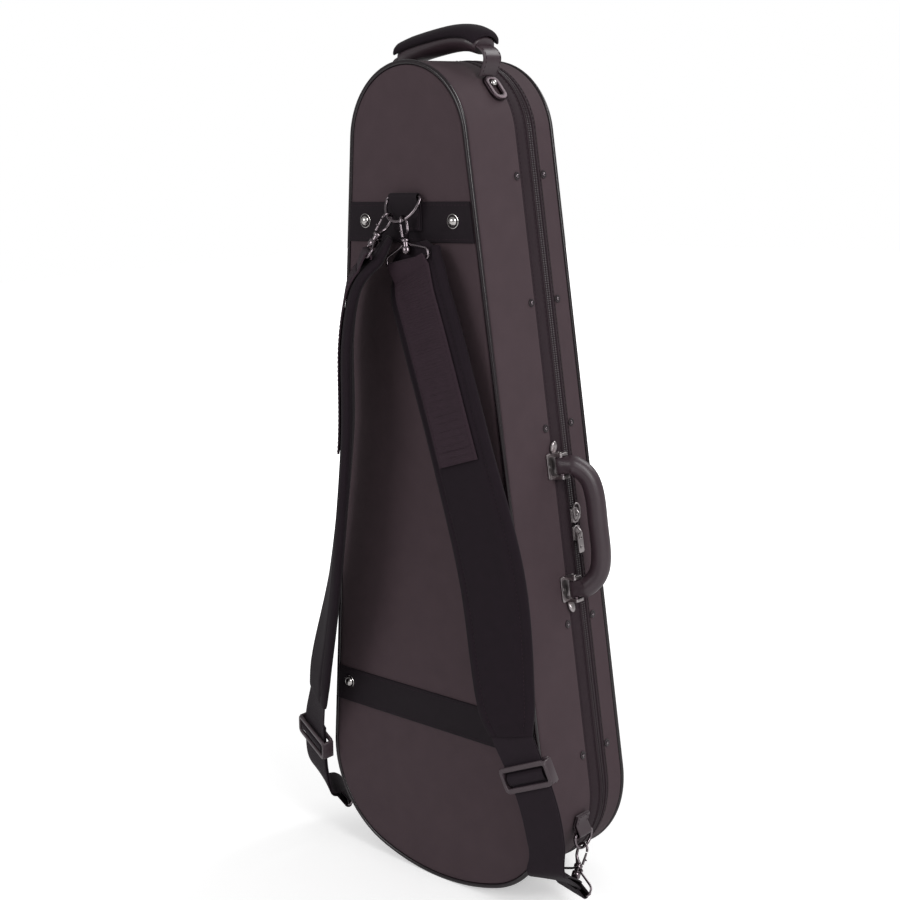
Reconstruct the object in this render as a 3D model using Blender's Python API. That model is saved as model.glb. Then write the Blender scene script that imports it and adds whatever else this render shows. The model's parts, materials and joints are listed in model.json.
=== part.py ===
"""A shaped viola case with backpack straps, standing on its wide rounded end.

X runs across the case towards the side handle, Y runs through its depth from the strap
side to the front, and Z runs up its length. The origin is on the flat at the middle of the
bottom end, half way through the depth. All sizes are in metres and all angles in degrees.
"""
import math

import bmesh
import bpy
from mathutils import Matrix, Vector
from mathutils.geometry import interpolate_bezier

GAP = 0.0003                    # clearance between pieces that touch

# Outline of the case, seen from the strap side
CASE_LENGTH = 0.780
CASE_WIDTH = 0.280
TOP_RADIUS = 0.072
LOBE_RADIUS = 0.095             # the two rounded corners of the wide end
BOTTOM_RADIUS = 0.230
TOP_STEPS = 16
LOBE_STEPS = 7
BOTTOM_STEPS = 5

# Depth of the two shells and their walls
BACK_DEPTH = 0.0858
LID_DEPTH = 0.0327
FRONT_PAD_THICKNESS = 0.0073
WALL = 0.012
PANEL = 0.008
LIP_WIDTH = 0.0045              # inner rim of the back shell that the lid closes over
LIP_CLEARANCE = 0.001
LIP_RISE = 0.0082
ZIP_CHANNEL = 0.0056            # from the seam to the rim of each shell
PIPING_RADIUS = 0.0022
PIPING_PROUD = 0.001
PIPING_SIDES = 8

# Zip tapes and chain around the seam
BACK_TAPE_WIDTH = 0.0170
LID_TAPE_WIDTH = 0.0056
TAPE_THICKNESS = 0.001
CHAIN_HALF_WIDTH = 0.0028
CHAIN_PROUD = 0.0008

# Webbing bands on the back panel
BAND_HEIGHT = 0.036
BAND_THICKNESS = 0.0013
UPPER_BAND_DROP = 0.141         # from the top of the case to the band's middle
LOWER_BAND_Z = 0.174

# Rings and the webbing that holds them
RING_WIRE = 0.002
RING_CORNER = 0.0026
TOP_RING_HALF = 0.0205
TOP_RING_REACH = 0.024
TOP_RING_TILT = 28
TOP_LOOP_WIDTH = 0.035
TOP_LOOP_RISE = 0.0225          # from the band's middle to the ring's bar
TOP_LOOP_TAIL = 0.030
LOOP_THICKNESS = 0.0014
LOWER_RING_HALF = 0.0125
LOWER_RING_REACH = 0.015
LOWER_RING_Z = 0.0700
LOWER_RING_PROUD = 0.008
LOWER_RING_INSET = 0.0148       # from the tape's edge to the middle of the ring
LOWER_LOOP_WIDTH = 0.018
LOWER_LOOP_TAIL = 0.020

# Snap hooks, in the hook's own plane
HOOK_TOP = 0.0376
HOOK_WIRE = 0.0024
HOOK_HALF_WIDTH = 0.0064
BARREL_RADIUS = 0.0042
NECK_RADIUS = 0.0028
BARREL_HEIGHT = 0.006
NECK_TOP = 0.0098
SHOULDER_TOP = 0.0126
GATE_RADIUS = 0.0014
GATE_FOOT = (0.0047, 0.0143)
GATE_TIP = (0.0064, 0.0288)
HOOK_SIDES = 8
EYE_WIRE = 0.0015
EYE_DROP = 0.009                # from the barrel's foot to the strap's bar
EYE_SHOULDER = 0.001
EYE_CORNER = 0.0023

# Straps
PAD_THICKNESS = 0.011
PAD_EDGE = 0.0035
PAD_END_THICKNESS = 0.006
PAD_SETBACK = 0.0104            # the pad's upper end stands this far behind the eye's bar
PAD_EASE = 0.038                # below the bar, where the pad is back on its route
PAD_LEAD_WIDTHS = (0.50, 0.68, 0.85)    # shares of the width, from the rounded end down to the bar
RIBBED_WIDTH = 0.048
RIBBED_THICKNESS = 0.002
WEBBING_WIDTH = 0.040
WEBBING_THICKNESS = 0.0016
UPPER_EYE_HALF = 0.0265
LOWER_EYE_HALF = 0.0240
STRAP_SAMPLES = 4               # sections between two route points
SEAM_START = 2                  # the section that the ribbed webbing meets the pad at
FOLD_CLEARANCE = 0.0009         # between an eye's bar and the webbing folded round it
FOLD_STEPS = 6
FOLD_LEAD = 0.015               # straight stretch of webbing above the lower eye's bar
RETURN_PAST_GLIDE = 4           # sections that the returning layer runs past the tri-glide
RIBBED_LENGTH = 0.175

# Tri-glides on the straps
GLIDE_WIDTH = 0.052
GLIDE_HEIGHT = 0.025
GLIDE_THICKNESS = 0.0030
GLIDE_BAR = 0.0045
GLIDE_CLEARANCE = 0.0014        # each side of the webbing
GLIDE_SIDE_CLEARANCE = 0.0024
GLIDE_CORNER = 0.0038
GLIDE_RIM = 0.0014              # the windows stop this far inside the channel's sides

# Side handle on the right flank
HANDLE_Z = 0.3575
HANDLE_HALF_SPAN = 0.0575
HANDLE_REACH = 0.0275
HANDLE_LEAN = 36                # towards the lid, from straight out
HANDLE_SECTION = (0.0092, 0.0092)
HANDLE_TANG = (0.0050, 0.0048)
HANDLE_SIDES = 10
PIN_LIFT = 0.009
PIN_RADIUS = 0.0015
BORE_CLEARANCE = 0.0001
EYE_RADIUS = 0.0050
EYE_LENGTH = 0.010
EAR_THICKNESS = 0.002
EAR_WIDTH = 0.0105
BRACKET_THICKNESS = 0.0015
BRACKET_WIDTH = 0.020
BRACKET_INNER = 0.0115          # from the pin's middle towards the handle's middle
BRACKET_OUTER = 0.0105
LEAF_LENGTH = 0.013
LEAF_WIDTH = 0.014
HANDLE_Y_INSET = 0.0005         # from the tape's edge towards the lid

# Top handle
FITTING_ANGLE = 52
TOP_HANDLE_Y = -0.007
FRAME_WIDTH = 0.0195
FRAME_LENGTH = 0.027
FRAME_THICKNESS = 0.0032
SLOT_WIDTH = 0.0085
SLOT_LENGTH = 0.0165
TOP_STUD_RADIUS = 0.0033
TOP_STUD_HEIGHT = 0.0058
TOP_STRAP_WIDTH = 0.023
TOP_STRAP_THICKNESS = 0.0028
TOP_STRAP_BEND = (0.018, 0.014)         # how far it keeps the wall's and the grip's direction
TOP_STRAP_STEPS = 12
GRIP_HALF_WIDTH = 0.016
GRIP_HALF_HEIGHT = 0.0092
GRIP_SIDES = 12
GRIP_STATIONS = ((-0.049, 0.0060), (-0.030, 0.0108), (0.000, 0.0150), (0.020, 0.0163),
                 (0.036, 0.0145), (0.047, 0.0095))      # across, and above the case's top
WRAP_CLEARANCE = 0.0005
WRAP_THICKNESS = (0.0040, 0.0050)
WRAP_EDGE_ANGLE = 20
WRAP_STEPS = 8

# Zip sliders and their pulls
UPPER_SLIDER_Z = 0.3650
LOWER_SLIDER_Z = 0.3480
SLIDER_LENGTH = 0.0145
SLIDER_HALF_WIDTH = 0.0054
SLIDER_FLANGE = 0.0016
SLIDER_GUIDE = 0.0006           # height of the guides that run beside the coil
SLIDER_PLATE = 0.0014
CROWN_TOP = 0.0080
CROWN_HALF = 0.0016
CROWN_HOLE_RADIUS = 0.0015
CROWN_BAR = 0.0012
RING_PULL_HALF = 0.0042
RING_PULL_REACH = 0.011
PULL_WIRE = 0.0008
TAB_WIDTH = 0.0078
TAB_LENGTH = 0.0185
TAB_THICKNESS = 0.0016

# Hinge on the left flank
HINGE_Z = 0.400
HINGE_LENGTH = 0.120
HINGE_LEAF_WIDTH = 0.0125
HINGE_SHEET = 0.0012
HINGE_PIN_RADIUS = 0.0015
KNUCKLE_CLEARANCE = 0.0001
KNUCKLE_STEPS = 10
KNUCKLE_LENGTH = 0.040          # of the middle knuckle

# Inside the case
LINING_THICKNESS = 0.006
LINING_FLOOR = 0.006
NECK_CHANNEL = 0.052
BOX_LOW = 0.470
BOX_HIGH = 0.620
BOX_DEPTH = 0.044
BOX_WALL = 0.003
BOX_LID_THICKNESS = 0.0025
CLIP_X = 0.045
CLIP_Z = 0.190
CLIP_STEM = 0.004
CLIP_STEM_HEIGHT = 0.009
CLIP_ARM = 0.028
CLIP_ROUND = 0.007
CLIP_BLADE = 0.003

# Places that follow from the sizes above
DEPTH = BACK_DEPTH + LID_DEPTH + FRONT_PAD_THICKNESS
Y_BACK = -DEPTH / 2
Y_SEAM = Y_BACK + BACK_DEPTH
Y_LID_FACE = Y_SEAM + LID_DEPTH
Y_FRONT = Y_LID_FACE + FRONT_PAD_THICKNESS
Y_BACK_RIM = Y_SEAM - ZIP_CHANNEL
Y_LID_RIM = Y_SEAM + ZIP_CHANNEL
Y_LIP = Y_SEAM + LIP_RISE
Y_BACK_TAPE = Y_SEAM - GAP / 2 - CHAIN_HALF_WIDTH - BACK_TAPE_WIDTH
Y_LID_TAPE = Y_SEAM + GAP / 2 + CHAIN_HALF_WIDTH + LID_TAPE_WIDTH
Y_FLOOR = Y_BACK + PANEL
Y_CEILING = Y_LID_FACE - PANEL
Y_HANDLE = Y_BACK_TAPE + HANDLE_Y_INSET
PIPING_INSET = PIPING_RADIUS - PIPING_PROUD
REBATE = PIPING_INSET + PIPING_RADIUS + GAP
RECESS = TAPE_THICKNESS + GAP
UPPER_BAND_Z = CASE_LENGTH - UPPER_BAND_DROP
PANEL_EDGE = REBATE + GAP       # where a piece on a panel ends, from the outline
BAND_TOP = BAND_THICKNESS + GAP

UP = Vector((0, 0, 1))
RIGHT = Vector((1, 0, 0))
FORWARD = Vector((0, 1, 0))
LEFT_SIDE, RIGHT_SIDE = -1, 1
SIDES = ((LEFT_SIDE, "left"), (RIGHT_SIDE, "right"))


def materials():
    """The finishes, by name: colour, roughness and metallic value."""
    finishes = {
        "canvas": ((0.075, 0.060, 0.064), 0.85, 0.0),
        "piping_vinyl": ((0.030, 0.022, 0.026), 0.30, 0.0),
        "zip_nylon": ((0.018, 0.014, 0.017), 0.70, 0.0),
        "band_webbing": ((0.014, 0.011, 0.014), 0.80, 0.0),
        "nickel": ((0.62, 0.60, 0.60), 0.22, 1.0),
        "gunmetal": ((0.16, 0.14, 0.15), 0.35, 1.0),
        "strap_pad": ((0.016, 0.012, 0.015), 0.90, 0.0),
        "strap_webbing": ((0.035, 0.026, 0.030), 0.80, 0.0),
        "handle_vinyl": ((0.045, 0.034, 0.038), 0.40, 0.0),
        "glide_plastic": ((0.030, 0.026, 0.030), 0.40, 0.0),
        "plush": ((0.10, 0.09, 0.10), 0.95, 0.0),
    }
    made = {}
    for name, (colour, roughness, metallic) in finishes.items():
        material = bpy.data.materials.new(name)
        material.use_nodes = True
        shader = material.node_tree.nodes["Principled BSDF"]
        shader.inputs["Base Color"].default_value = (*colour, 1)
        shader.inputs["Roughness"].default_value = roughness
        shader.inputs["Metallic"].default_value = metallic
        material.diffuse_color = (*colour, 1)
        made[name] = material
    return made


def skin(bm, loops, cyclic=False):
    """Join equal closed loops of points with quads, and cap the ends or close the ring."""
    rows = [[bm.verts.new(point) for point in loop] for loop in loops]
    count = len(rows[0])
    pairs = list(zip(rows, rows[1:]))
    if cyclic:
        pairs.append((rows[-1], rows[0]))
    for low, high in pairs:
        for i in range(count):
            j = (i + 1) % count
            bm.faces.new((low[i], low[j], high[j], high[i]))
    if not cyclic:
        ends = [bm.faces.new(rows[0][::-1]), bm.faces.new(rows[-1])]
        bmesh.ops.triangulate(bm, faces=ends, ngon_method='EAR_CLIP')


def finish(name, bm, material, pivot=None, parent=None, smooth=35):
    """Turn a bmesh into a named object, with its origin on its pivot if it has one."""
    bmesh.ops.recalc_face_normals(bm, faces=bm.faces)
    mesh = bpy.data.meshes.new(name)
    bm.to_mesh(mesh)
    bm.free()
    place = Vector(pivot) if pivot is not None else Vector()
    mesh.transform(Matrix.Translation(-place))
    mesh.shade_smooth()
    mesh.set_sharp_from_angle(angle=math.radians(smooth))
    mesh.materials.append(MATERIALS[material])
    piece = bpy.data.objects.new(name, mesh)
    piece.location = place
    bpy.context.scene.collection.objects.link(piece)
    if parent is not None:
        piece.parent = parent
        piece.matrix_parent_inverse = Matrix.Translation(-parent.location)
    return piece


def axis_empty(name, place):
    """An empty on a joint's axis, which carries the pieces that turn together."""
    empty = bpy.data.objects.new(name, None)
    empty.location = place
    empty.empty_display_size = 0.02
    bpy.context.scene.collection.objects.link(empty)
    return empty


def combine(piece, name, bm, operation, solver='EXACT'):
    """Put a Boolean on a piece, with a hidden guide made from a bmesh."""
    guide = finish(name, bm, "nickel", pivot=piece.location)
    guide.hide_render = True
    guide.display_type = 'WIRE'
    boolean = piece.modifiers.new(name, 'BOOLEAN')
    boolean.operation = operation
    boolean.solver = solver
    boolean.object = guide


def add(piece, name, bm, solver='EXACT'):
    combine(piece, name, bm, 'UNION', solver)


def cut(piece, name, loops_list, solver='EXACT'):
    """Take closed prisms out of a piece."""
    bm = bmesh.new()
    for loops in loops_list:
        skin(bm, loops)
    combine(piece, name, bm, 'DIFFERENCE', solver)


class Frame:
    """A place with three directions of its own."""

    def __init__(self, place, a, b, c):
        self.place, self.a, self.b, self.c = Vector(place), Vector(a), Vector(b), Vector(c)

    def at(self, a=0.0, b=0.0, c=0.0):
        return self.place + self.a * a + self.b * b + self.c * c

    def moved(self, a=0.0, b=0.0, c=0.0):
        return Frame(self.at(a, b, c), self.a, self.b, self.c)


def block(frame, low, high):
    """Two loops of a box between two corners given in a frame."""
    corners = ((low[0], low[1]), (high[0], low[1]), (high[0], high[1]), (low[0], high[1]))
    return [[frame.at(a, b, c) for a, b in corners] for c in (low[2], high[2])]


def circle(frame, radius, height, sides, phase=0.5):
    """A loop in the a-b plane of a frame, at a height along c."""
    turns = [2 * math.pi * (i + phase) / sides for i in range(sides)]
    return [frame.at(radius * math.cos(t), radius * math.sin(t), height) for t in turns]


def turned(bm, frame, profile, sides):
    """A turned solid about a frame's c direction, from (radius, height) pairs."""
    skin(bm, [circle(frame, radius, height, sides) for radius, height in profile])


def tube(bm, points, radii, sides, normal, cyclic=False):
    """A tube along points, with a radius for each and one direction kept as its side."""
    loops = []
    last = len(points) - 1
    for i, point in enumerate(points):
        before = points[i - 1] if (i or cyclic) else point
        after = points[(i + 1) % len(points)] if (i < last or cyclic) else point
        along = (after - before).normalized()
        side = (normal - along * normal.dot(along)).normalized()
        frame = Frame(point, side, along.cross(side), along)
        loops.append(circle(frame, radii[i], 0, sides))
    skin(bm, loops, cyclic)


def smooth_route(points, samples):
    """A smooth curve through points, which may be vectors or lists of equal length."""
    route = []
    for i in range(len(points) - 1):
        p1, p2 = points[i], points[i + 1]
        p0 = points[i - 1] if i else p1 * 2 - p2
        p3 = points[i + 2] if i + 2 < len(points) else p2 * 2 - p1
        for k in range(samples):
            t = k / samples
            route.append(0.5 * (2 * p1 + (p2 - p0) * t + (2 * p0 - 5 * p1 + 4 * p2 - p3) * t * t
                                + (3 * p1 - p0 - 3 * p2 + p3) * t * t * t))
    route.append(points[-1].copy())
    return route


def ribbon_frames(centres, wides):
    """Frames along a strap: a is across its width, b out of its face and c along it."""
    frames = []
    for i, centre in enumerate(centres):
        before, after = centres[max(i - 1, 0)], centres[min(i + 1, len(centres) - 1)]
        along = (after - before).normalized()
        wide = (wides[i] - along * wides[i].dot(along)).normalized()
        frames.append(Frame(centre, wide, wide.cross(along), along))
    return frames


def flat_section(width, thickness, edge=0.0):
    """Half-width and half-thickness corners of a strap's section, with chamfered edges."""
    w, t = width / 2, thickness / 2
    if not edge:
        return [(-w, -t), (w, -t), (w, t), (-w, t)]
    chamfer = min(edge, t * 0.8)
    return [(-w + edge, -t), (w - edge, -t), (w, -t + chamfer), (w, t - chamfer),
            (w - edge, t), (-w + edge, t), (-w, t - chamfer), (-w, -t + chamfer)]


def sweep(bm, frames, sections):
    """A strap: one section, or one for each frame, swept along the frames."""
    if isinstance(sections[0], tuple):
        sections = [sections] * len(frames)
    skin(bm, [[frame.at(a, b) for a, b in section] for frame, section in zip(frames, sections)])


class Outline:
    """The outline of the case, in the X-Z plane: arcs for its ends and straight flanks."""

    lobe_x = CASE_WIDTH / 2 - LOBE_RADIUS
    lobe_drop = math.sqrt((BOTTOM_RADIUS - LOBE_RADIUS) ** 2 - lobe_x ** 2)
    turn = math.atan2(-lobe_drop, lobe_x)
    facet = math.cos((math.pi / 2 + turn) / BOTTOM_STEPS)
    top = Vector((0, CASE_LENGTH - TOP_RADIUS))
    bottom = Vector((0, BOTTOM_RADIUS * facet))
    lobe = Vector((lobe_x, bottom.y - lobe_drop))
    rise = top - lobe
    flank = math.atan2(rise.y, rise.x) - math.acos((LOBE_RADIUS - TOP_RADIUS) / rise.length)


def arc(centre, radius, start, end, steps):
    angles = [start + (end - start) * i / steps for i in range(steps + 1)]
    return [(centre[0] + radius * math.cos(a), centre[1] + radius * math.sin(a)) for a in angles]


def outline(offset):
    """The outline grown by an offset: the left flank is the gap after the top arc."""
    flank, turn = Outline.flank, Outline.turn
    left_lobe = (-Outline.lobe.x, Outline.lobe.y)
    top = arc(Outline.top, TOP_RADIUS + offset, flank, math.pi - flank, TOP_STEPS)
    left = arc(left_lobe, LOBE_RADIUS + offset, math.pi - flank, math.pi - turn, LOBE_STEPS)
    base = arc(Outline.bottom, BOTTOM_RADIUS + offset, math.pi - turn, 2 * math.pi + turn, BOTTOM_STEPS)
    right = arc(Outline.lobe, LOBE_RADIUS + offset, turn, flank, LOBE_STEPS)
    return top + left[:-1] + base + right[1:]


def rim(offset, y):
    """A loop that follows the outline at one depth."""
    return [Vector((x, y, z)) for x, z in outline(offset)]


def wall_frame(side, z, y):
    """On a side wall at a height: a runs up the wall, b towards the lid and c outwards."""
    foot = Outline.lobe.y + LOBE_RADIUS * math.sin(Outline.flank)
    head = Outline.top.y + TOP_RADIUS * math.sin(Outline.flank)
    if z < foot:
        angle = math.asin((z - Outline.lobe.y) / LOBE_RADIUS)
        x = Outline.lobe.x + LOBE_RADIUS * math.cos(angle)
    elif z > head:
        angle = math.asin((z - Outline.top.y) / TOP_RADIUS)
        x = TOP_RADIUS * math.cos(angle)
    else:
        angle = Outline.flank
        x = (Outline.lobe.x + LOBE_RADIUS * math.cos(angle)
             - (z - foot) * math.tan(angle))
    up = Vector((-side * math.sin(angle), 0, math.cos(angle)))
    out = Vector((side * math.cos(angle), 0, math.sin(angle)))
    return Frame((side * x, y, z), up, FORWARD, out)


def half_width(z):
    return wall_frame(RIGHT_SIDE, z, 0).place.x


def from_band(x, off, drop):
    """A strap point by the upper band: across, off the back panel, and below the band."""
    return Vector((x, Y_BACK - off, UPPER_BAND_Z - drop))


def from_edge(side, outside, off, z):
    """A strap point by the case's edge: outside the outline, off the back panel, and height."""
    return Vector((side * (half_width(z) + outside), Y_BACK - off, z))


def below_ring(side, outside, off, z):
    """A strap point under the lower ring: outside the outline at the ring, off the back panel, and height."""
    return Vector((side * (half_width(LOWER_RING_Z) + outside), Y_BACK - off, z))


def back_shell():
    bm = bmesh.new()
    skin(bm, [
        rim(-WALL, Y_FLOOR),
        rim(-WALL, Y_LIP),
        rim(-WALL + LIP_WIDTH, Y_LIP),
        rim(-WALL + LIP_WIDTH, Y_BACK_RIM),
        rim(-RECESS, Y_BACK_RIM),
        rim(-RECESS, Y_BACK_TAPE - GAP),
        rim(0, Y_BACK_TAPE - GAP),
        rim(0, Y_BACK + REBATE),
        rim(-REBATE, Y_BACK + REBATE),
        rim(-REBATE, Y_BACK),
    ])
    finish("back_shell", bm, "canvas")


def lid_shell(lid):
    outer_lip = -WALL + LIP_WIDTH + LIP_CLEARANCE
    bm = bmesh.new()
    skin(bm, [
        rim(-WALL, Y_CEILING),
        rim(-WALL, Y_LIP + LIP_CLEARANCE),
        rim(outer_lip, Y_LIP + LIP_CLEARANCE),
        rim(outer_lip, Y_LID_RIM),
        rim(-RECESS, Y_LID_RIM),
        rim(-RECESS, Y_LID_TAPE + GAP),
        rim(0, Y_LID_TAPE + GAP),
        rim(0, Y_LID_FACE - REBATE),
        rim(-REBATE, Y_LID_FACE - REBATE),
        rim(-REBATE, Y_LID_FACE),
    ])
    finish("lid_shell", bm, "canvas", parent=lid)


def front_pad(lid):
    """The soft front panel, domed just past the piping."""
    bm = bmesh.new()
    edge = -PANEL_EDGE
    skin(bm, [
        rim(edge, Y_LID_FACE + GAP),
        rim(edge, Y_FRONT - 0.0022),
        rim(edge - 0.0008, Y_FRONT - 0.0007),
        rim(edge - 0.0024, Y_FRONT),
    ])
    finish("front_pad", bm, "canvas", parent=lid)


def piping(name, y, parent=None):
    """The round vinyl edge in the rebate between a wall and its panel."""
    turns = [2 * math.pi * i / PIPING_SIDES for i in range(PIPING_SIDES)]
    bm = bmesh.new()
    skin(bm, [rim(-PIPING_INSET + PIPING_RADIUS * math.cos(t), y + PIPING_RADIUS * math.sin(t))
              for t in turns], cyclic=True)
    finish(name, bm, "piping_vinyl", parent=parent)


def zip_side(name, y_far, y_near, parent=None):
    """Half of the zip: a tape round the case, with its coil along all but the hinged flank."""
    sign = 1 if y_near > y_far else -1
    coil = y_near - sign * CHAIN_HALF_WIDTH
    flat = (TOP_STEPS, TOP_STEPS + 1)
    tape = [rim(-TAPE_THICKNESS, y_far), rim(0, y_far)]
    proud = [rim(CHAIN_PROUD, coil), rim(CHAIN_PROUD, y_near)]
    level = [rim(0, coil), rim(0, y_near)]
    foot = rim(0, coil - sign * GAP)
    under = rim(-TAPE_THICKNESS, y_near)
    bm = bmesh.new()
    loops = []
    for i in range(len(tape[0])):
        coil_edges = level if i in flat else proud
        loops.append([tape[0][i], tape[1][i], foot[i], coil_edges[0][i], coil_edges[1][i], under[i]])
    skin(bm, loops, cyclic=True)
    finish(name, bm, "zip_nylon", parent=parent)


def band(name, z):
    """A webbing band across the back panel, sewn in under the piping."""
    low, high = z - BAND_HEIGHT / 2, z + BAND_HEIGHT / 2
    ends = [(side * (half_width(h) - PANEL_EDGE), h) for side, h in
            ((LEFT_SIDE, low), (RIGHT_SIDE, low), (RIGHT_SIDE, high), (LEFT_SIDE, high))]
    bm = bmesh.new()
    skin(bm, [[Vector((x, y, h)) for x, h in ends] for y in (Y_BACK - GAP, Y_BACK - BAND_TOP)])
    finish(name, bm, "band_webbing")


def d_ring(bm, frame, half, reach):
    """A D-shaped wire ring: its bar lies along a, and it hangs along b."""
    points = [(-half, RING_CORNER), (-half + RING_CORNER, 0), (half - RING_CORNER, 0), (half, RING_CORNER)]
    points += [(half * math.cos(t), RING_CORNER + (reach - RING_CORNER) * math.sin(t))
               for t in (math.pi * i / 10 for i in range(1, 10))]
    tube(bm, [frame.at(a, b) for a, b in points], [RING_WIRE] * len(points), 6, frame.c, cyclic=True)


def ring_spot(frame, half, reach, a):
    """The middle of a ring's wire where it crosses a, and the direction of the wire there."""
    t = math.acos(a / half)
    place = frame.at(a, RING_CORNER + (reach - RING_CORNER) * math.sin(t))
    wire = frame.a * half * math.sin(t) - frame.b * (reach - RING_CORNER) * math.cos(t)
    return place, wire.normalized()


def loop_tab(bm, bar, width, tail, lift, wrap=0):
    """Webbing folded round a bar: a is across, b towards the tail and c off the surface."""
    radius = RING_WIRE + GAP + LOOP_THICKNESS / 2
    seat = GAP + LOOP_THICKNESS / 2 - lift
    back = [(tail, seat), (tail * 0.35, seat)]
    turns = [-math.pi * i / 6 for i in range(-wrap, 7 + wrap)]
    fold = [(radius * math.sin(t), -radius * math.cos(t)) for t in turns]
    front = [(tail * 0.45, seat + LOOP_THICKNESS * 1.6), (tail, seat + LOOP_THICKNESS + GAP)]
    route = [bar.at(0, b, c) for b, c in back + fold + front]
    sweep(bm, ribbon_frames(route, [bar.a] * len(route)), flat_section(width, LOOP_THICKNESS))


TOP_BAR_LIFT = BAND_TOP + GAP + LOOP_THICKNESS + GAP + RING_WIRE


def top_ring_frame():
    """The bar of the top ring: a is across, b down the hanging ring and c off its face."""
    place = (0, Y_BACK - TOP_BAR_LIFT, UPPER_BAND_Z + TOP_LOOP_RISE)
    tilt = math.radians(TOP_RING_TILT)
    return Frame(place, RIGHT, (0, -math.sin(tilt), -math.cos(tilt)), (0, -math.cos(tilt), math.sin(tilt)))


def lower_ring_frame(side):
    """The bar of a lower ring, beside the wall: a runs through the depth and b hangs down."""
    wall = wall_frame(side, LOWER_RING_Z, Y_BACK_TAPE - LOWER_RING_INSET)
    place = wall.place + RIGHT * side * LOWER_RING_PROUD
    return Frame(place, FORWARD, -UP, RIGHT * side)


def ring_loops():
    bm = bmesh.new()
    bar = top_ring_frame()
    loop_tab(bm, Frame(bar.place, RIGHT, -UP, -FORWARD), TOP_LOOP_WIDTH, TOP_LOOP_TAIL,
             TOP_BAR_LIFT - BAND_TOP)
    finish("top_ring_loop", bm, "band_webbing")
    for side, name in SIDES:
        place = lower_ring_frame(side).place
        wall = wall_frame(side, place.z, place.y)
        lift = (place - wall.place).dot(wall.c)
        bm = bmesh.new()
        loop_tab(bm, Frame(place, FORWARD, wall.a, wall.c), LOWER_LOOP_WIDTH, LOWER_LOOP_TAIL, lift, wrap=1)
        finish(f"lower_ring_loop_{name}", bm, "handle_vinyl")


def rings():
    bm = bmesh.new()
    d_ring(bm, top_ring_frame(), TOP_RING_HALF, TOP_RING_REACH)
    finish("top_ring", bm, "gunmetal")
    for side, name in SIDES:
        bm = bmesh.new()
        d_ring(bm, lower_ring_frame(side), LOWER_RING_HALF, LOWER_RING_REACH)
        finish(f"lower_ring_{name}", bm, "gunmetal")


# From a hook's barrel foot to the middle of the ring that it holds
HOOK_SEAT = HOOK_TOP - 2 * HOOK_WIRE - 3 * GAP - RING_WIRE


def snap_hook(name, gate_name, frame):
    """A swivel snap hook: a is across the hook, b is along its gate's pin, c is up it."""
    w = HOOK_HALF_WIDTH
    sections = (
        (0, 0, BARREL_RADIUS), (0, BARREL_HEIGHT, BARREL_RADIUS), (0, BARREL_HEIGHT + 0.0001, NECK_RADIUS),
        (0, NECK_TOP, NECK_RADIUS), (0, NECK_TOP + 0.0001, BARREL_RADIUS), (0, SHOULDER_TOP, BARREL_RADIUS),
        (-0.0002, SHOULDER_TOP + 0.0004, NECK_RADIUS), (-w * 0.62, 0.0172, HOOK_WIRE + 0.0003),
        (-w, 0.0215, HOOK_WIRE), (-w, 0.0300, HOOK_WIRE), (-w * 0.72, 0.0345, HOOK_WIRE),
        (0, HOOK_TOP - HOOK_WIRE / 2 - 0.0012, HOOK_WIRE), (w * 0.72, 0.0345, HOOK_WIRE * 0.9),
        (w, 0.0315, HOOK_WIRE * 0.85), (w, 0.0298, HOOK_WIRE * 0.75),
    )
    bm = bmesh.new()
    tube(bm, [frame.at(a, 0, c) for a, c, _ in sections], [r for _, _, r in sections], HOOK_SIDES, frame.b)
    finish(name, bm, "gunmetal")
    foot, tip = frame.at(GATE_FOOT[0], 0, GATE_FOOT[1]), frame.at(GATE_TIP[0], 0, GATE_TIP[1])
    bm = bmesh.new()
    tube(bm, [foot, (foot + tip) / 2, tip], [GATE_RADIUS, GATE_RADIUS, GATE_RADIUS * 0.8], 6, frame.b)
    finish(gate_name, bm, "gunmetal", pivot=foot)


def strap_eye(name, frame, half):
    """The wire eye that a strap runs through: a is across the strap and c towards the hook."""
    neck = NECK_RADIUS + GAP + EYE_WIRE
    level = (BARREL_HEIGHT + NECK_TOP) / 2
    points = [(-half + EYE_CORNER, -EYE_DROP, 0), (-half, -EYE_DROP + EYE_CORNER, 0),
              (-half, EYE_SHOULDER - EYE_CORNER, 0), (-half + EYE_CORNER, EYE_SHOULDER, 0),
              (-neck - 0.002, level - 0.0012, 0)]
    points += [(-neck * math.cos(t), level, neck * math.sin(t)) for t in (math.pi * i / 6 for i in range(7))]
    points += [(-a, c, b) for a, c, b in points[4::-1]]
    bm = bmesh.new()
    tube(bm, [frame.at(a, b, c) for a, c, b in points], [EYE_WIRE] * len(points), 6, frame.b, cyclic=True)
    finish(name, bm, "gunmetal")


def square_to(direction, other):
    """A direction turned square to another, and made a unit."""
    return (other - direction * other.dot(direction)).normalized()


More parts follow.
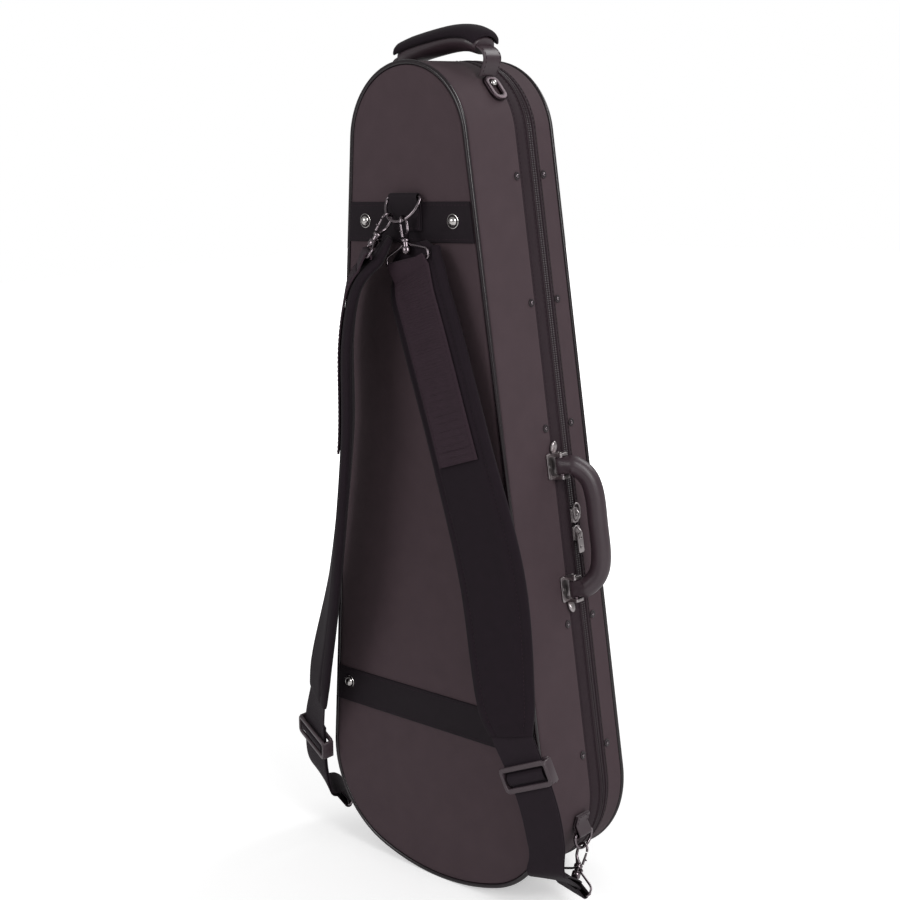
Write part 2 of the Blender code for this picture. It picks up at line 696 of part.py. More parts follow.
class Strap:
    """One backpack strap: its route, its hooks and the pieces on it."""

    def __init__(self, name, side, pad_route, pad_lead, web_route, ring_x, low_bar, low_wide, low_lead,
                 glide_section):
        self.name, self.side = name, side
        self.pad_route, self.pad_lead, self.web_route = pad_route, pad_lead, web_route
        self.ring_x = ring_x
        self.low_bar, self.low_wide, self.low_lead = low_bar, low_wide, low_lead
        self.glide_section = glide_section

    def top_hook(self):
        """The upper hook's frame and the frame of the eye that swivels in it."""
        bar = self.pad_route[0][0]
        held, wire = ring_spot(top_ring_frame(), TOP_RING_HALF, TOP_RING_REACH, self.ring_x)
        up = (held - bar).normalized()
        foot = held - up * HOOK_SEAT
        wire = square_to(up, wire)
        wide = square_to(up, self.pad_route[0][1])
        return Frame(foot, wire.cross(up), wire, up), Frame(foot, wide, up.cross(wide), up)

    def low_hook(self):
        """The lower hook's frame and its eye's frame, from the lower ring to the strap's end."""
        held, wire = ring_spot(lower_ring_frame(self.side), LOWER_RING_HALF, LOWER_RING_REACH, 0)
        up = (held - self.low_bar).normalized()
        foot = held - up * HOOK_SEAT
        wire = square_to(up, wire)
        wide = square_to(up, self.low_wide)
        return Frame(foot, wire.cross(up), wire, up), Frame(foot, wide, up.cross(wide), up)


def pad_frames(strap):
    """Frames down the pad, from the upper eye to its narrow end."""
    eye = strap.top_hook()[1]
    start = eye.at(0, 0, -EYE_DROP)
    centres = [start] + [row[0] for row in strap.pad_route[1:]]
    wides = [eye.a] + [row[1] for row in strap.pad_route[1:]]
    return ribbon_frames(smooth_route(centres, STRAP_SAMPLES), smooth_route(wides, STRAP_SAMPLES))


def pad_widths(strap):
    widths = smooth_route([Vector((row[2], 0)) for row in strap.pad_route], STRAP_SAMPLES)
    return [w.x for w in widths]


def strap_pad(strap):
    """The soft pad. Its end stands up behind the eye, and it tapers to the webbing at its foot."""
    frames, widths = pad_frames(strap), pad_widths(strap)
    top = frames[0]
    up = strap.top_hook()[1].c
    back = square_to(up, -top.b if top.b.dot(-FORWARD) > 0 else top.b)
    places, lead = [], len(PAD_LEAD_WIDTHS)
    for i in range(lead):
        share = 1 - i / lead
        places.append(top.place + up * (strap.pad_lead * share) + back * PAD_SETBACK)
    run = 0
    for before, frame in zip([top] + frames, frames):
        run += (frame.place - before.place).length
        back = frame.b if frame.b.dot(back) > 0 else -frame.b
        places.append(frame.place + back * PAD_SETBACK * max(0, 1 - run / PAD_EASE) ** 2)
    widths = [widths[0] * share for share in PAD_LEAD_WIDTHS] + widths
    sections = []
    for i, width in enumerate(widths):
        thickness = PAD_THICKNESS if lead + SEAM_START < i < len(widths) - 3 else PAD_END_THICKNESS
        sections.append(flat_section(width, thickness, PAD_EDGE))
    bm = bmesh.new()
    sweep(bm, ribbon_frames(places, [top.a] * lead + [frame.a for frame in frames]), sections)
    finish(f"strap_pad_{strap.name}", bm, "strap_pad")


def ribbed_webbing(strap):
    """Ribbed webbing that wraps the upper eye's bar and is sewn down the pad's face."""
    frames = pad_frames(strap)
    eye = strap.top_hook()[1]
    bar = eye.at(0, 0, -EYE_DROP)
    face = frames[1].b if frames[1].b.dot(-FORWARD) > 0 else -frames[1].b
    rise = PAD_THICKNESS / 2 + GAP + RIBBED_THICKNESS / 2
    radius = EYE_WIRE + FOLD_CLEARANCE + RIBBED_THICKNESS / 2
    up = eye.c
    route, wides = [], []
    for i in range(FOLD_STEPS):
        turn = math.pi * i / FOLD_STEPS
        route.append(bar - face * (radius * math.cos(turn)) + up * (radius * math.sin(turn)))
        wides.append(eye.a)
    left = RIBBED_LENGTH
    for before, frame in zip(frames[SEAM_START - 1:], frames[SEAM_START:]):
        step = (frame.place - before.place).length
        share = min(1.0, left / step)
        normal = frame.b if frame.b.dot(face) > 0 else -frame.b
        route.append(route[-1].lerp(frame.place + normal * rise, share))
        wides.append(wides[-1].lerp(frame.a, share))
        face = normal
        left -= step
        if left < RIBBED_THICKNESS:
            break
    bm = bmesh.new()
    sweep(bm, ribbon_frames(route, wides), flat_section(RIBBED_WIDTH, RIBBED_THICKNESS))
    finish(f"ribbed_webbing_{strap.name}", bm, "strap_webbing")


def web_frames(strap):
    """Frames of the lower webbing's outer layer, the eye's bar, and the way up and out from it."""
    eye = strap.low_hook()[1]
    bar = eye.at(0, 0, -EYE_DROP)
    away = eye.a.cross(eye.c)
    if away.y > 0:
        away = -away
    lean = math.radians(strap.low_lead)
    lead = eye.c * math.cos(lean) + away * math.sin(lean)
    face = away * math.cos(lean) - eye.c * math.sin(lean)
    radius = EYE_WIRE + FOLD_CLEARANCE + WEBBING_THICKNESS / 2
    last = pad_frames(strap)[-1]
    wide = eye.a if eye.a.dot(strap.web_route[-1][1]) > 0 else -eye.a
    end = bar + face * radius
    centres = [last.at(0, 0, 2 * GAP)] + [row[0] for row in strap.web_route] + [end + lead * FOLD_LEAD]
    wides = [last.a] + [row[1] for row in strap.web_route] + [wide]
    frames = ribbon_frames(smooth_route(centres, STRAP_SAMPLES) + [end],
                           smooth_route(wides, STRAP_SAMPLES) + [wide])
    frames[0] = last.moved(c=2 * GAP)
    return frames, bar, lead, face * radius


def lower_webbing(strap):
    """Webbing from the pad down through the tri-glide, round the eye's bar and back up."""
    frames, bar, lead, spoke = web_frames(strap)
    route = [frame.place for frame in frames]
    wides = [frame.a for frame in frames]
    for turn in (math.pi * i / FOLD_STEPS for i in range(1, FOLD_STEPS + 1)):
        route.append(bar + spoke * math.cos(turn) - lead * spoke.length * math.sin(turn))
        wides.append(frames[-1].a)
    inward = 1 if frames[-1].b.dot(spoke) > 0 else -1
    spread = 2 * spoke.length
    layer = WEBBING_THICKNESS + 2 * GAP
    returning = frames[-2:strap.glide_section - RETURN_PAST_GLIDE:-1]
    for i, frame in enumerate(returning):
        share = min(1.0, (i + 1) / STRAP_SAMPLES)
        route.append(frame.place - frame.b * inward * (spread + (layer - spread) * share))
        wides.append(frame.a)
    swept = ribbon_frames(route, wides)
    swept[0] = frames[0]
    bm = bmesh.new()
    sweep(bm, swept, flat_section(WEBBING_WIDTH, WEBBING_THICKNESS))
    finish(f"lower_webbing_{strap.name}", bm, "strap_webbing")


def tri_glide(strap):
    """An adjuster that slides on the straight stretch of the webbing below the pad."""
    frames = web_frames(strap)[0]
    middle = frames[strap.glide_section]
    inward = -1 if middle.b.y > 0 else 1
    frame = Frame(middle.place, middle.a, middle.b * inward, middle.c)
    lift = WEBBING_THICKNESS / 2 + GLIDE_CLEARANCE
    w, h, t = GLIDE_WIDTH / 2, GLIDE_HEIGHT / 2, GLIDE_THICKNESS
    slot = WEBBING_WIDTH / 2 + GLIDE_SIDE_CLEARANCE
    bm = bmesh.new()
    level = -lift - WEBBING_THICKNESS - 2 * GAP - t
    corner = GLIDE_CORNER
    shape = [(-w + corner, -h), (w - corner, -h), (w, -h + corner), (w, h - corner),
             (w - corner, h), (-w + corner, h), (-w, h - corner), (-w, -h + corner)]
    skin(bm, [[frame.at(a, b, c) for a, c in shape] for b in (level, lift + t)])
    piece = finish(f"tri_glide_{strap.name}", bm, "glide_plastic", pivot=frame.place)
    bar, half_bar = h - GLIDE_BAR, GLIDE_BAR / 2
    window = slot - GLIDE_RIM
    cut(piece, f"tri_glide_{strap.name}_slots", [
        block(frame, (-slot, level + t, -h - 0.01), (slot, lift, h + 0.01)),
        block(frame, (-window, lift - 0.001, half_bar), (window, lift + t + 0.01, bar)),
        block(frame, (-window, lift - 0.001, -bar), (window, lift + t + 0.01, -half_bar)),
        block(frame, (-window, level - 0.01, -bar), (window, level + t + 0.001, bar)),
    ])
    return piece


def straps():
    """The two straps, with the places that the hooks and pads lie in."""
    return [
        Strap("right", RIGHT_SIDE,
              pad_route=[(from_band(0.0150, 0.0200, 0.0340), Vector((0.95, 0.00, 0.28)), 0.066),
                         (from_band(0.0240, 0.0185, 0.0560), Vector((0.95, 0.00, 0.28)), 0.072),
                         (from_band(0.0386, 0.0175, 0.1026), Vector((0.95, 0.00, 0.29)), 0.074),
                         (from_band(0.0691, 0.0175, 0.2036), Vector((0.95, 0.00, 0.29)), 0.074),
                         (from_edge(RIGHT_SIDE, -0.0150, 0.0180, 0.3255), Vector((0.94, 0.15, 0.27)), 0.070),
                         (from_edge(RIGHT_SIDE, -0.0165, 0.0180, 0.2166), Vector((0.93, 0.30, 0.20)), 0.058),
                         (from_edge(RIGHT_SIDE, -0.0150, 0.0175, 0.1820), Vector((0.92, 0.25, 0.30)), 0.044)],
              pad_lead=0.018,
              web_route=[(from_edge(RIGHT_SIDE, -0.0020, 0.0160, 0.1476), Vector((0.90, 0.15, 0.38))),
                         (from_edge(RIGHT_SIDE, 0.0040, 0.0125, 0.1130), Vector((0.90, 0.15, 0.38))),
                         (from_edge(RIGHT_SIDE, 0.0105, 0.0105, 0.0800), Vector((0.90, 0.08, 0.38))),
                         (below_ring(RIGHT_SIDE, 0.0149901128, 0.0115, 0.0540), Vector((0.93, 0.02, 0.33)))],
              ring_x=0.008, low_bar=below_ring(RIGHT_SIDE, 0.0048574595, -0.0365, 0.0159),
              low_wide=Vector((0.95, -0.15, 0.20)), low_lead=55, glide_section=4),
        Strap("left", LEFT_SIDE,
              pad_route=[(from_band(-0.0330, 0.0330, 0.0370), Vector((0.72, -0.69, -0.10)), 0.049),
                         (from_band(-0.0390, 0.0350, 0.0560), Vector((0.71, -0.70, -0.10)), 0.066),
                         (from_band(-0.0530, 0.0350, 0.1100), Vector((0.70, -0.71, 0.00)), 0.068),
                         (from_band(-0.0600, 0.0350, 0.2000), Vector((0.69, -0.72, 0.00)), 0.068),
                         (from_edge(LEFT_SIDE, -0.0290, 0.0330, 0.3000), Vector((0.75, -0.66, -0.05)), 0.066),
                         (from_edge(LEFT_SIDE, -0.0010, 0.0230, 0.2000), Vector((0.87, -0.49, -0.10)), 0.056),
                         (from_edge(LEFT_SIDE, 0.0090, 0.0180, 0.1600), Vector((0.92, -0.38, -0.14)), 0.044)],
              pad_lead=0.024,
              web_route=[(from_edge(LEFT_SIDE, 0.0190, 0.0120, 0.1280), Vector((0.93, -0.35, -0.15))),
                         (from_edge(LEFT_SIDE, 0.0270, 0.0050, 0.1000), Vector((0.92, -0.37, -0.18))),
                         (from_edge(LEFT_SIDE, 0.0390, -0.0020, 0.0690), Vector((0.88, -0.44, -0.18))),
                         (below_ring(LEFT_SIDE, 0.0374771217, -0.0130, 0.0450), Vector((0.78, -0.60, -0.16)))],
              ring_x=-0.0125, low_bar=below_ring(LEFT_SIDE, 0.0255744914, -0.0319, 0.0300),
              low_wide=Vector((0.70, -0.70, -0.15)), low_lead=80, glide_section=7),
    ]


def strap_pieces():
    for strap in straps():
        hook, eye = strap.top_hook()
        snap_hook(f"top_hook_{strap.name}", f"top_gate_{strap.name}", hook)
        strap_eye(f"top_eye_{strap.name}", eye, UPPER_EYE_HALF)
        hook, eye = strap.low_hook()
        snap_hook(f"low_hook_{strap.name}", f"low_gate_{strap.name}", hook)
        strap_eye(f"low_eye_{strap.name}", eye, LOWER_EYE_HALF)
        strap_pad(strap)
        ribbed_webbing(strap)
        lower_webbing(strap)
        tri_glide(strap)


def handle_frame():
    """On the side handle's pins: a is out along the handle, b across it and c up the wall."""
    wall = wall_frame(RIGHT_SIDE, HANDLE_Z, Y_HANDLE)
    lean = math.radians(HANDLE_LEAN)
    out = wall.c * math.cos(lean) + wall.b * math.sin(lean)
    across = wall.b * math.cos(lean) - wall.c * math.sin(lean)
    return Frame(wall.at(0, 0, PIN_LIFT), out, across, wall.a)


def handle_bracket(name, end):
    """A plate with two ears for the pin and an oval leaf. End is 1 for the upper one."""
    wall = wall_frame(RIGHT_SIDE, HANDLE_Z, Y_HANDLE).moved(a=end * HANDLE_HALF_SPAN)
    half, leaf, ear = BRACKET_WIDTH / 2, LEAF_WIDTH / 2, EAR_WIDTH / 2
    outer, tip = BRACKET_OUTER, BRACKET_OUTER + LEAF_LENGTH
    shape = [(-BRACKET_INNER, -half), (-BRACKET_INNER, half), (outer, half), (outer + 0.001, leaf * 0.8)]
    middle = (outer + tip) / 2 + 0.0015
    shape += [(middle + (tip - middle) * math.cos(t), leaf * math.sin(t))
              for t in (math.pi / 2 - math.pi * i / 6 for i in range(7))]
    shape += [(outer + 0.001, -leaf * 0.8), (outer, -half)]
    bm = bmesh.new()
    skin(bm, [[wall.at(end * a, b, c) for a, b in shape] for c in (GAP, GAP + BRACKET_THICKNESS)])
    piece = finish(name, bm, "nickel")
    ears = bmesh.new()
    gap = EYE_LENGTH / 2 + GAP
    for low in (-gap - EAR_THICKNESS, gap):
        arch = [(-ear, GAP + BRACKET_THICKNESS / 2), (ear, GAP + BRACKET_THICKNESS / 2)]
        turns = [math.pi * i / 6 for i in range(7)]
        arch += [(ear * math.cos(t), PIN_LIFT + ear * math.sin(t)) for t in turns]
        skin(ears, [[wall.at(a, b, c) for b, c in arch] for a in (low, low + EAR_THICKNESS)])
    add(piece, f"{name}_ears", ears)
    hole = Frame(wall.at(0, 0, PIN_LIFT), wall.b, wall.c, wall.a)
    reach = gap + EAR_THICKNESS + 0.002
    cut(piece, f"{name}_bore", [[circle(hole, PIN_RADIUS + BORE_CLEARANCE, h, 12) for h in (-reach, reach)]])


def side_handle():
    """A moulded D handle, its two metal eyes and the pins that they turn on."""
    frame = handle_frame()
    section, tang = HANDLE_SECTION, HANDLE_TANG
    start, span, reach = EYE_RADIUS - 0.0012, HANDLE_HALF_SPAN, HANDLE_REACH
    half = [(start, span, tang), (start + 0.0032, span, tang), (start + 0.0060, span - 0.0005, section),
            (reach - 0.0130, span - 0.004, section), (reach - 0.0060, span - 0.010, section),
            (reach - 0.0020, span - 0.019, section), (reach, span - 0.034, section)]
    stations = half + [(reach, 0, section)] + [(a, -c, s) for a, c, s in half[::-1]]
    loops = []
    for i, (a, c, (tall, wide)) in enumerate(stations):
        before, after = stations[max(i - 1, 0)], stations[min(i + 1, len(stations) - 1)]
        along = Vector((after[0] - before[0], after[1] - before[1]))
        if i in (0, len(stations) - 1):
            along = Vector((1 if i == 0 else -1, 0))
        along.normalize()
        across = Vector((-along.y, along.x))
        station = frame.moved(a, 0, c)
        turns = [2 * math.pi * (k + 0.5) / HANDLE_SIDES for k in range(HANDLE_SIDES)]
        oval = [(tall * math.cos(t), wide * math.sin(t)) for t in turns]
        loops.append([station.at(across.x * high, deep, across.y * high) for high, deep in oval])
    bm = bmesh.new()
    skin(bm, loops)
    piece = finish("side_handle", bm, "handle_vinyl", pivot=frame.place)
    eyes, bores = bmesh.new(), []
    pin_reach = EYE_LENGTH / 2 + GAP + EAR_THICKNESS + 0.0008
    for end, place in ((-1, "lower"), (1, "upper")):
        eye = Frame(frame.at(0, 0, end * HANDLE_HALF_SPAN), frame.a, frame.b, frame.c)
        skin(eyes, [circle(eye, EYE_RADIUS, height, 12) for height in (-EYE_LENGTH / 2, EYE_LENGTH / 2)])
        bore = PIN_RADIUS + BORE_CLEARANCE
        bores.append([circle(eye, bore, height, 12) for height in (-EYE_LENGTH, EYE_LENGTH)])
        pin = bmesh.new()
        turned(pin, eye, ((PIN_RADIUS, -pin_reach), (PIN_RADIUS, pin_reach)), 12)
        finish(f"handle_pin_{place}", pin, "nickel")
    add(piece, "side_handle_eyes", eyes)
    cut(piece, "side_handle_bores", bores)


def fitting_frame(side):
    """On the top arc, where a strap end sits: a runs down the wall and c outwards."""
    angle = math.radians(FITTING_ANGLE)
    out = Vector((side * math.sin(angle), 0, math.cos(angle)))
    down = Vector((side * math.cos(angle), 0, -math.sin(angle)))
    place = Vector((0, TOP_HANDLE_Y, Outline.top.y)) + out * TOP_RADIUS
    return Frame(place, down, FORWARD, out)


def rounded_slot(frame, length, width, height, steps=4):
    """A loop with two round ends, longer along a."""
    radius = width / 2
    straight = length / 2 - radius
    turns = [-math.pi / 2 + math.pi * i / steps for i in range(steps + 1)]
    half = [(straight + radius * math.cos(t), radius * math.sin(t)) for t in turns]
    return [frame.at(a, b, height) for a, b in half + [(-a, -b) for a, b in half]]


def grip_frames():
    """Frames along the top grip, from its left end to its right end."""
    stations = smooth_route([Vector((x, TOP_HANDLE_Y, CASE_LENGTH + rise)) for x, rise in GRIP_STATIONS], 2)
    return ribbon_frames(stations, [FORWARD] * len(stations))


def top_handle_fitting(name, seat, lift):
    """A slotted oblong frame at a strap's end, and the stud that it slides on."""
    top = GAP + FRAME_THICKNESS
    bm = bmesh.new()
    skin(bm, [rounded_slot(seat, FRAME_LENGTH, FRAME_WIDTH, top),
              rounded_slot(seat, FRAME_LENGTH, FRAME_WIDTH, GAP),
              rounded_slot(seat, SLOT_LENGTH, SLOT_WIDTH, GAP),
              rounded_slot(seat, SLOT_LENGTH, SLOT_WIDTH, top)], cyclic=True)
    finish(f"top_handle_frame_{name}", bm, "gunmetal", parent=lift)
    back = SLOT_LENGTH / 2 - TOP_STUD_RADIUS - GAP
    r, h = TOP_STUD_RADIUS, TOP_STUD_HEIGHT
    bm = bmesh.new()
    turned(bm, seat.moved(a=-back), ((r, GAP), (r, h * 0.55), (r * 0.8, h * 0.85), (r * 0.3, h)), 12)
    finish(f"top_handle_stud_{name}", bm, "nickel")


def top_handle_strap(name, side, seat, grip_end, lift):
    """A strap end in one arc from its frame up to the grip, whose end it meets square."""
    end = grip_end.place
    level = GAP + FRAME_THICKNESS
    foot = seat.at(-FRAME_LENGTH / 2 - 2 * GAP, 0, level - TOP_STRAP_THICKNESS / 2)
    away = grip_end.c if grip_end.c.x * side > 0 else -grip_end.c
    route = interpolate_bezier(foot, foot - seat.a * TOP_STRAP_BEND[0], end + away * TOP_STRAP_BEND[1], end,
                               TOP_STRAP_STEPS)
    frames = ribbon_frames(route, [FORWARD] * len(route))
    face = grip_end.b if grip_end.b.dot(frames[-1].b) > 0 else -grip_end.b
    frames[-1] = Frame(end, grip_end.a, face, frames[-1].c)
    bm = bmesh.new()
    sweep(bm, frames, flat_section(TOP_STRAP_WIDTH, TOP_STRAP_THICKNESS))
    finish(f"top_handle_strap_{name}", bm, "handle_vinyl", parent=lift)


def top_handle(lift):
    """The padded top handle, on straps that end in slotted frames over studs."""
    frames = grip_frames()
    grip_ends = {LEFT_SIDE: frames[0].moved(c=-GAP), RIGHT_SIDE: frames[-1].moved(c=GAP)}
    for side, name in SIDES:
        seat = fitting_frame(side)
        top_handle_fitting(name, seat, lift)
        top_handle_strap(name, side, seat, grip_ends[side], lift)
    turns = [2 * math.pi * (i + 0.5) / GRIP_SIDES for i in range(GRIP_SIDES)]
    bm = bmesh.new()
    sweep(bm, frames, [(GRIP_HALF_WIDTH * math.cos(t), GRIP_HALF_HEIGHT * math.sin(t)) for t in turns])
    finish("top_handle_grip", bm, "handle_vinyl", parent=lift)
    edge = math.radians(WRAP_EDGE_ANGLE)
    turns = [edge + (math.pi - 2 * edge) * i / WRAP_STEPS for i in range(WRAP_STEPS + 1)]
    up = 1 if frames[0].b.z > 0 else -1
    inner = (GRIP_HALF_WIDTH + WRAP_CLEARANCE, GRIP_HALF_HEIGHT + WRAP_CLEARANCE)
    outer = (inner[0] + WRAP_THICKNESS[0], inner[1] + WRAP_THICKNESS[1])
    saddle = [(outer[0] * math.cos(t), up * outer[1] * math.sin(t)) for t in turns]
    saddle += [(inner[0] * math.cos(t), up * inner[1] * math.sin(t)) for t in turns[::-1]]
    bm = bmesh.new()
    sweep(bm, frames, saddle)
    finish("top_handle_wrap", bm, "strap_pad", parent=lift)


def slider_frame(z):
    """On the right flank's seam: a runs up the chain, b to the lid and c outwards."""
    return wall_frame(RIGHT_SIDE, z, Y_SEAM)


def crown_height():
    return CROWN_TOP - CROWN_BAR - CROWN_HOLE_RADIUS


def zip_slider(name, z):
    """A channel over the chain with an arched crown on top, open for the pull."""
    frame = slider_frame(z)
    w, half = SLIDER_HALF_WIDTH, SLIDER_LENGTH / 2
    foot = CHAIN_PROUD + GAP
    under, over = foot + SLIDER_GUIDE, foot + SLIDER_GUIDE + SLIDER_PLATE
    flange = w - SLIDER_FLANGE
    section = [(-w, foot), (-flange, foot), (-flange, under), (flange, under), (flange, foot), (w, foot),
               (w, over), (-w, over)]
    bm = bmesh.new()
    skin(bm, [[frame.at(a, b, c) for b, c in section] for a in (-half, half)])
    piece = finish(name, bm, "nickel", pivot=frame.place)
    rising = [(half * 0.85, over - SLIDER_PLATE / 2), (half * 0.75, over + SLIDER_GUIDE),
              (half * 0.5, CROWN_TOP * 0.8), (half * 0.3, CROWN_TOP)]
    arch = rising + [(-a, c) for a, c in rising[::-1]]
    hole = Frame(frame.at(0, 0, crown_height()), frame.a, frame.c, frame.b)
    ring = circle(hole, CROWN_HOLE_RADIUS, 0, len(arch), phase=-1.5)
    loops = []
    for b in (-CROWN_HALF, CROWN_HALF):
        loops.append([frame.at(a, b, c) for a, c in arch])
    for b in (CROWN_HALF, -CROWN_HALF):
        loops.append([point + frame.b * b for point in ring])
    crown = bmesh.new()
    skin(crown, loops, cyclic=True)
    add(piece, f"{name}_crown", crown, 'MANIFOLD')


def zip_pulls():
    """A wire ring on the upper slider, lying up, and a flat tab on the lower one, hanging."""
    upper = slider_frame(UPPER_SLIDER_Z).moved(c=crown_height())
    half, reach = RING_PULL_HALF, RING_PULL_REACH
    points = [(0, -half + 0.0008), (0, half - 0.0008), (0.0008, half)]
    turns = [math.pi * i / 6 for i in range(7)]
    points += [(reach - half + half * math.sin(t), half * math.cos(t)) for t in turns]
    points.append((0.0008, -half))
    bm = bmesh.new()
    tube(bm, [upper.at(a, b) for a, b in points], [PULL_WIRE] * len(points), 6, upper.c, cyclic=True)
    finish("ring_pull", bm, "nickel", pivot=upper.place)
    lower = slider_frame(LOWER_SLIDER_Z).moved(c=crown_height())
    w, bar, window = TAB_WIDTH / 2, 0.0008, 0.0052
    inner_w = CROWN_HALF + 0.0006
    level, foot = -window - bar, -TAB_LENGTH
    outer = [(bar, -w), (bar, w), (level, w), (foot, w), (foot, -w), (level, -w)]
    inner = [(-bar, -inner_w), (-bar, inner_w), (-window, inner_w), (-window - 0.0002, inner_w * 0.5),
             (-window - 0.0002, -inner_w * 0.5), (-window, -inner_w)]
    t = TAB_THICKNESS / 2
    bm = bmesh.new()
    skin(bm, [[lower.at(a, b, t) for a, b in outer], [lower.at(a, b, -t) for a, b in outer],
              [lower.at(a, b, -t) for a, b in inner], [lower.at(a, b, t) for a, b in inner]], cyclic=True)
    finish("tab_pull", bm, "gunmetal", pivot=lower.place)


KNUCKLE_BORE = HINGE_PIN_RADIUS + KNUCKLE_CLEARANCE
KNUCKLE_RADIUS = KNUCKLE_BORE + HINGE_SHEET
KNUCKLE_LIFT = GAP + KNUCKLE_RADIUS


def hinge_frame(z):
    """On the left flank's hinge line: a runs up the wall, b to the lid and c outwards."""
    return wall_frame(LEFT_SIDE, z, Y_SEAM).moved(c=KNUCKLE_LIFT)


def hinge_leaf(name, frame, sign, notches, parent=None):
    """A leaf with a bored knuckle, notched away where the other leaf's knuckle runs."""
    level = math.asin(KNUCKLE_BORE / KNUCKLE_RADIUS)
    turns = [-math.pi / 2 + (1.5 * math.pi + level) * i / KNUCKLE_STEPS for i in range(KNUCKLE_STEPS + 1)]
    outer = [(-KNUCKLE_RADIUS * math.cos(t), KNUCKLE_RADIUS * math.sin(t)) for t in turns]
    edge = KNUCKLE_RADIUS + HINGE_LEAF_WIDTH
    section = outer + [(edge, -KNUCKLE_BORE), (edge, -KNUCKLE_RADIUS)]
    half = HINGE_LENGTH / 2
    bm = bmesh.new()
    skin(bm, [[frame.at(a, sign * b, c) for b, c in section] for a in (-half, half)])
    piece = finish(name, bm, "nickel", parent=parent)
    reach = 2 * KNUCKLE_RADIUS
    near, far = sorted((-sign * reach, sign * (KNUCKLE_RADIUS + GAP)))
    pin = Frame(frame.place, frame.b, frame.c, frame.a)
    cut(piece, f"{name}_bore", [[circle(pin, KNUCKLE_BORE, a, 12) for a in (-HINGE_LENGTH, HINGE_LENGTH)]],
        'MANIFOLD')
    cut(piece, f"{name}_notches",
        [block(frame, (low, near, -reach), (high, far, reach)) for low, high in notches], 'MANIFOLD')


def hinge(lid):
    """A rolled-knuckle hinge: the back leaf, the lid leaf and the pin."""
    share, half = KNUCKLE_LENGTH / 2, HINGE_LENGTH / 2
    past = HINGE_LENGTH
    frame = hinge_frame(HINGE_Z)
    hinge_leaf("back_hinge_leaf", frame, -1, [(-share - GAP, share + GAP)])
    hinge_leaf("lid_hinge_leaf", frame, 1, [(-past, -share), (share, past)], lid)
    pin = bmesh.new()
    turned(pin, Frame(frame.place, frame.b, frame.c, frame.a),
           ((HINGE_PIN_RADIUS, -half), (HINGE_PIN_RADIUS, half)), 12)
    finish("hinge_pin", pin, "nickel")


def inner_half(z):
    """Clear half-width between the linings at a height."""
    return half_width(z) - WALL - LINING_THICKNESS - 2 * GAP - 0.001


def inside_back():
    bm = bmesh.new()
    out, inn = -(WALL + GAP), -(WALL + GAP + LINING_THICKNESS)
    low = Y_FLOOR + GAP
    skin(bm, [rim(inn, low + LINING_FLOOR), rim(inn, Y_BACK_RIM), rim(out, Y_BACK_RIM), rim(out, low)])
    finish("back_lining", bm, "plush")
    floor = low + LINING_FLOOR + GAP
    top = floor + BOX_DEPTH
    rim_y = top - BOX_LID_THICKNESS - GAP
    channel = NECK_CHANNEL / 2

    def level(inset, y):
        return [Vector((x, y, z)) for x, z in (
            (channel + inset, BOX_LOW + inset), (inner_half(BOX_LOW) - inset, BOX_LOW + inset),
            (inner_half(BOX_HIGH) - inset, BOX_HIGH - inset), (channel + inset, BOX_HIGH - inset))]

    bm = bmesh.new()
    skin(bm, [level(BOX_WALL, floor + BOX_WALL), level(BOX_WALL, rim_y), level(0, rim_y), level(0, floor)])
    finish("accessory_box", bm, "plush")
    bm = bmesh.new()
    skin(bm, [level(0, rim_y + GAP), level(0, top)])
    finish("accessory_lid", bm, "plush", pivot=(channel, top, (BOX_LOW + BOX_HIGH) / 2))


def bow_clip(name, side, lid):
    """A turning catch for a bow: a stem with a teardrop blade, pointing up at rest."""
    frame = Frame((side * CLIP_X, Y_CEILING - GAP, CLIP_Z), UP, RIGHT, -FORWARD)
    steps = 16

    def teardrop(height):
        points = []
        for i in range(steps):
            t = 2 * math.pi * i / steps
            a, b = CLIP_ROUND * math.cos(t), CLIP_ROUND * math.sin(t)
            if math.cos(t) > 0:
                a += (CLIP_ARM - CLIP_ROUND) * math.cos(t) ** 2
                b *= 1 - 0.35 * math.cos(t)
            points.append(frame.at(a, b, height))
        return points

    stem = [circle(frame, CLIP_STEM, height, steps, phase=0) for height in (0, CLIP_STEM_HEIGHT)]
    bm = bmesh.new()
    skin(bm, stem + [teardrop(CLIP_STEM_HEIGHT + 0.0001), teardrop(CLIP_STEM_HEIGHT + CLIP_BLADE)])
    finish(name, bm, "glide_plastic", pivot=frame.place, parent=lid)


def main():
    lid = axis_empty("lid_axis", hinge_frame(HINGE_Z).place)
    lift = axis_empty("top_handle_axis", (0, TOP_HANDLE_Y, CASE_LENGTH))
    back_shell()
    lid_shell(lid)
    front_pad(lid)
    piping("back_piping", Y_BACK + PIPING_INSET)
    piping("lid_piping", Y_LID_FACE - PIPING_INSET, lid)
    zip_side("back_zip", Y_BACK_TAPE, Y_SEAM - GAP / 2)
    zip_side("lid_zip", Y_LID_TAPE, Y_SEAM + GAP / 2, lid)
    band("upper_band", UPPER_BAND_Z)
    band("lower_band", LOWER_BAND_Z)
    ring_loops()
    rings()
    strap_pieces()
    handle_bracket("upper_handle_bracket", 1)
    handle_bracket("lower_handle_bracket", -1)
    side_handle()
    top_handle(lift)
    zip_slider("upper_zip_slider", UPPER_SLIDER_Z)
    zip_slider("lower_zip_slider", LOWER_SLIDER_Z)
    zip_pulls()
    hinge(lid)
    inside_back()
    for side, name in SIDES:
        bow_clip(f"bow_clip_{name}", side, lid)


for old in list(bpy.data.objects):
    bpy.data.objects.remove(old)
MATERIALS = materials()
main()
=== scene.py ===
"""The looks of a shaped viola case that stands on its wide end, with its straps towards the viewer.

X runs across the case towards the side handle, Y through its depth from the strap side to
the front of the lid, and Z up its length. Sizes are in metres, and angles in degrees.
"""

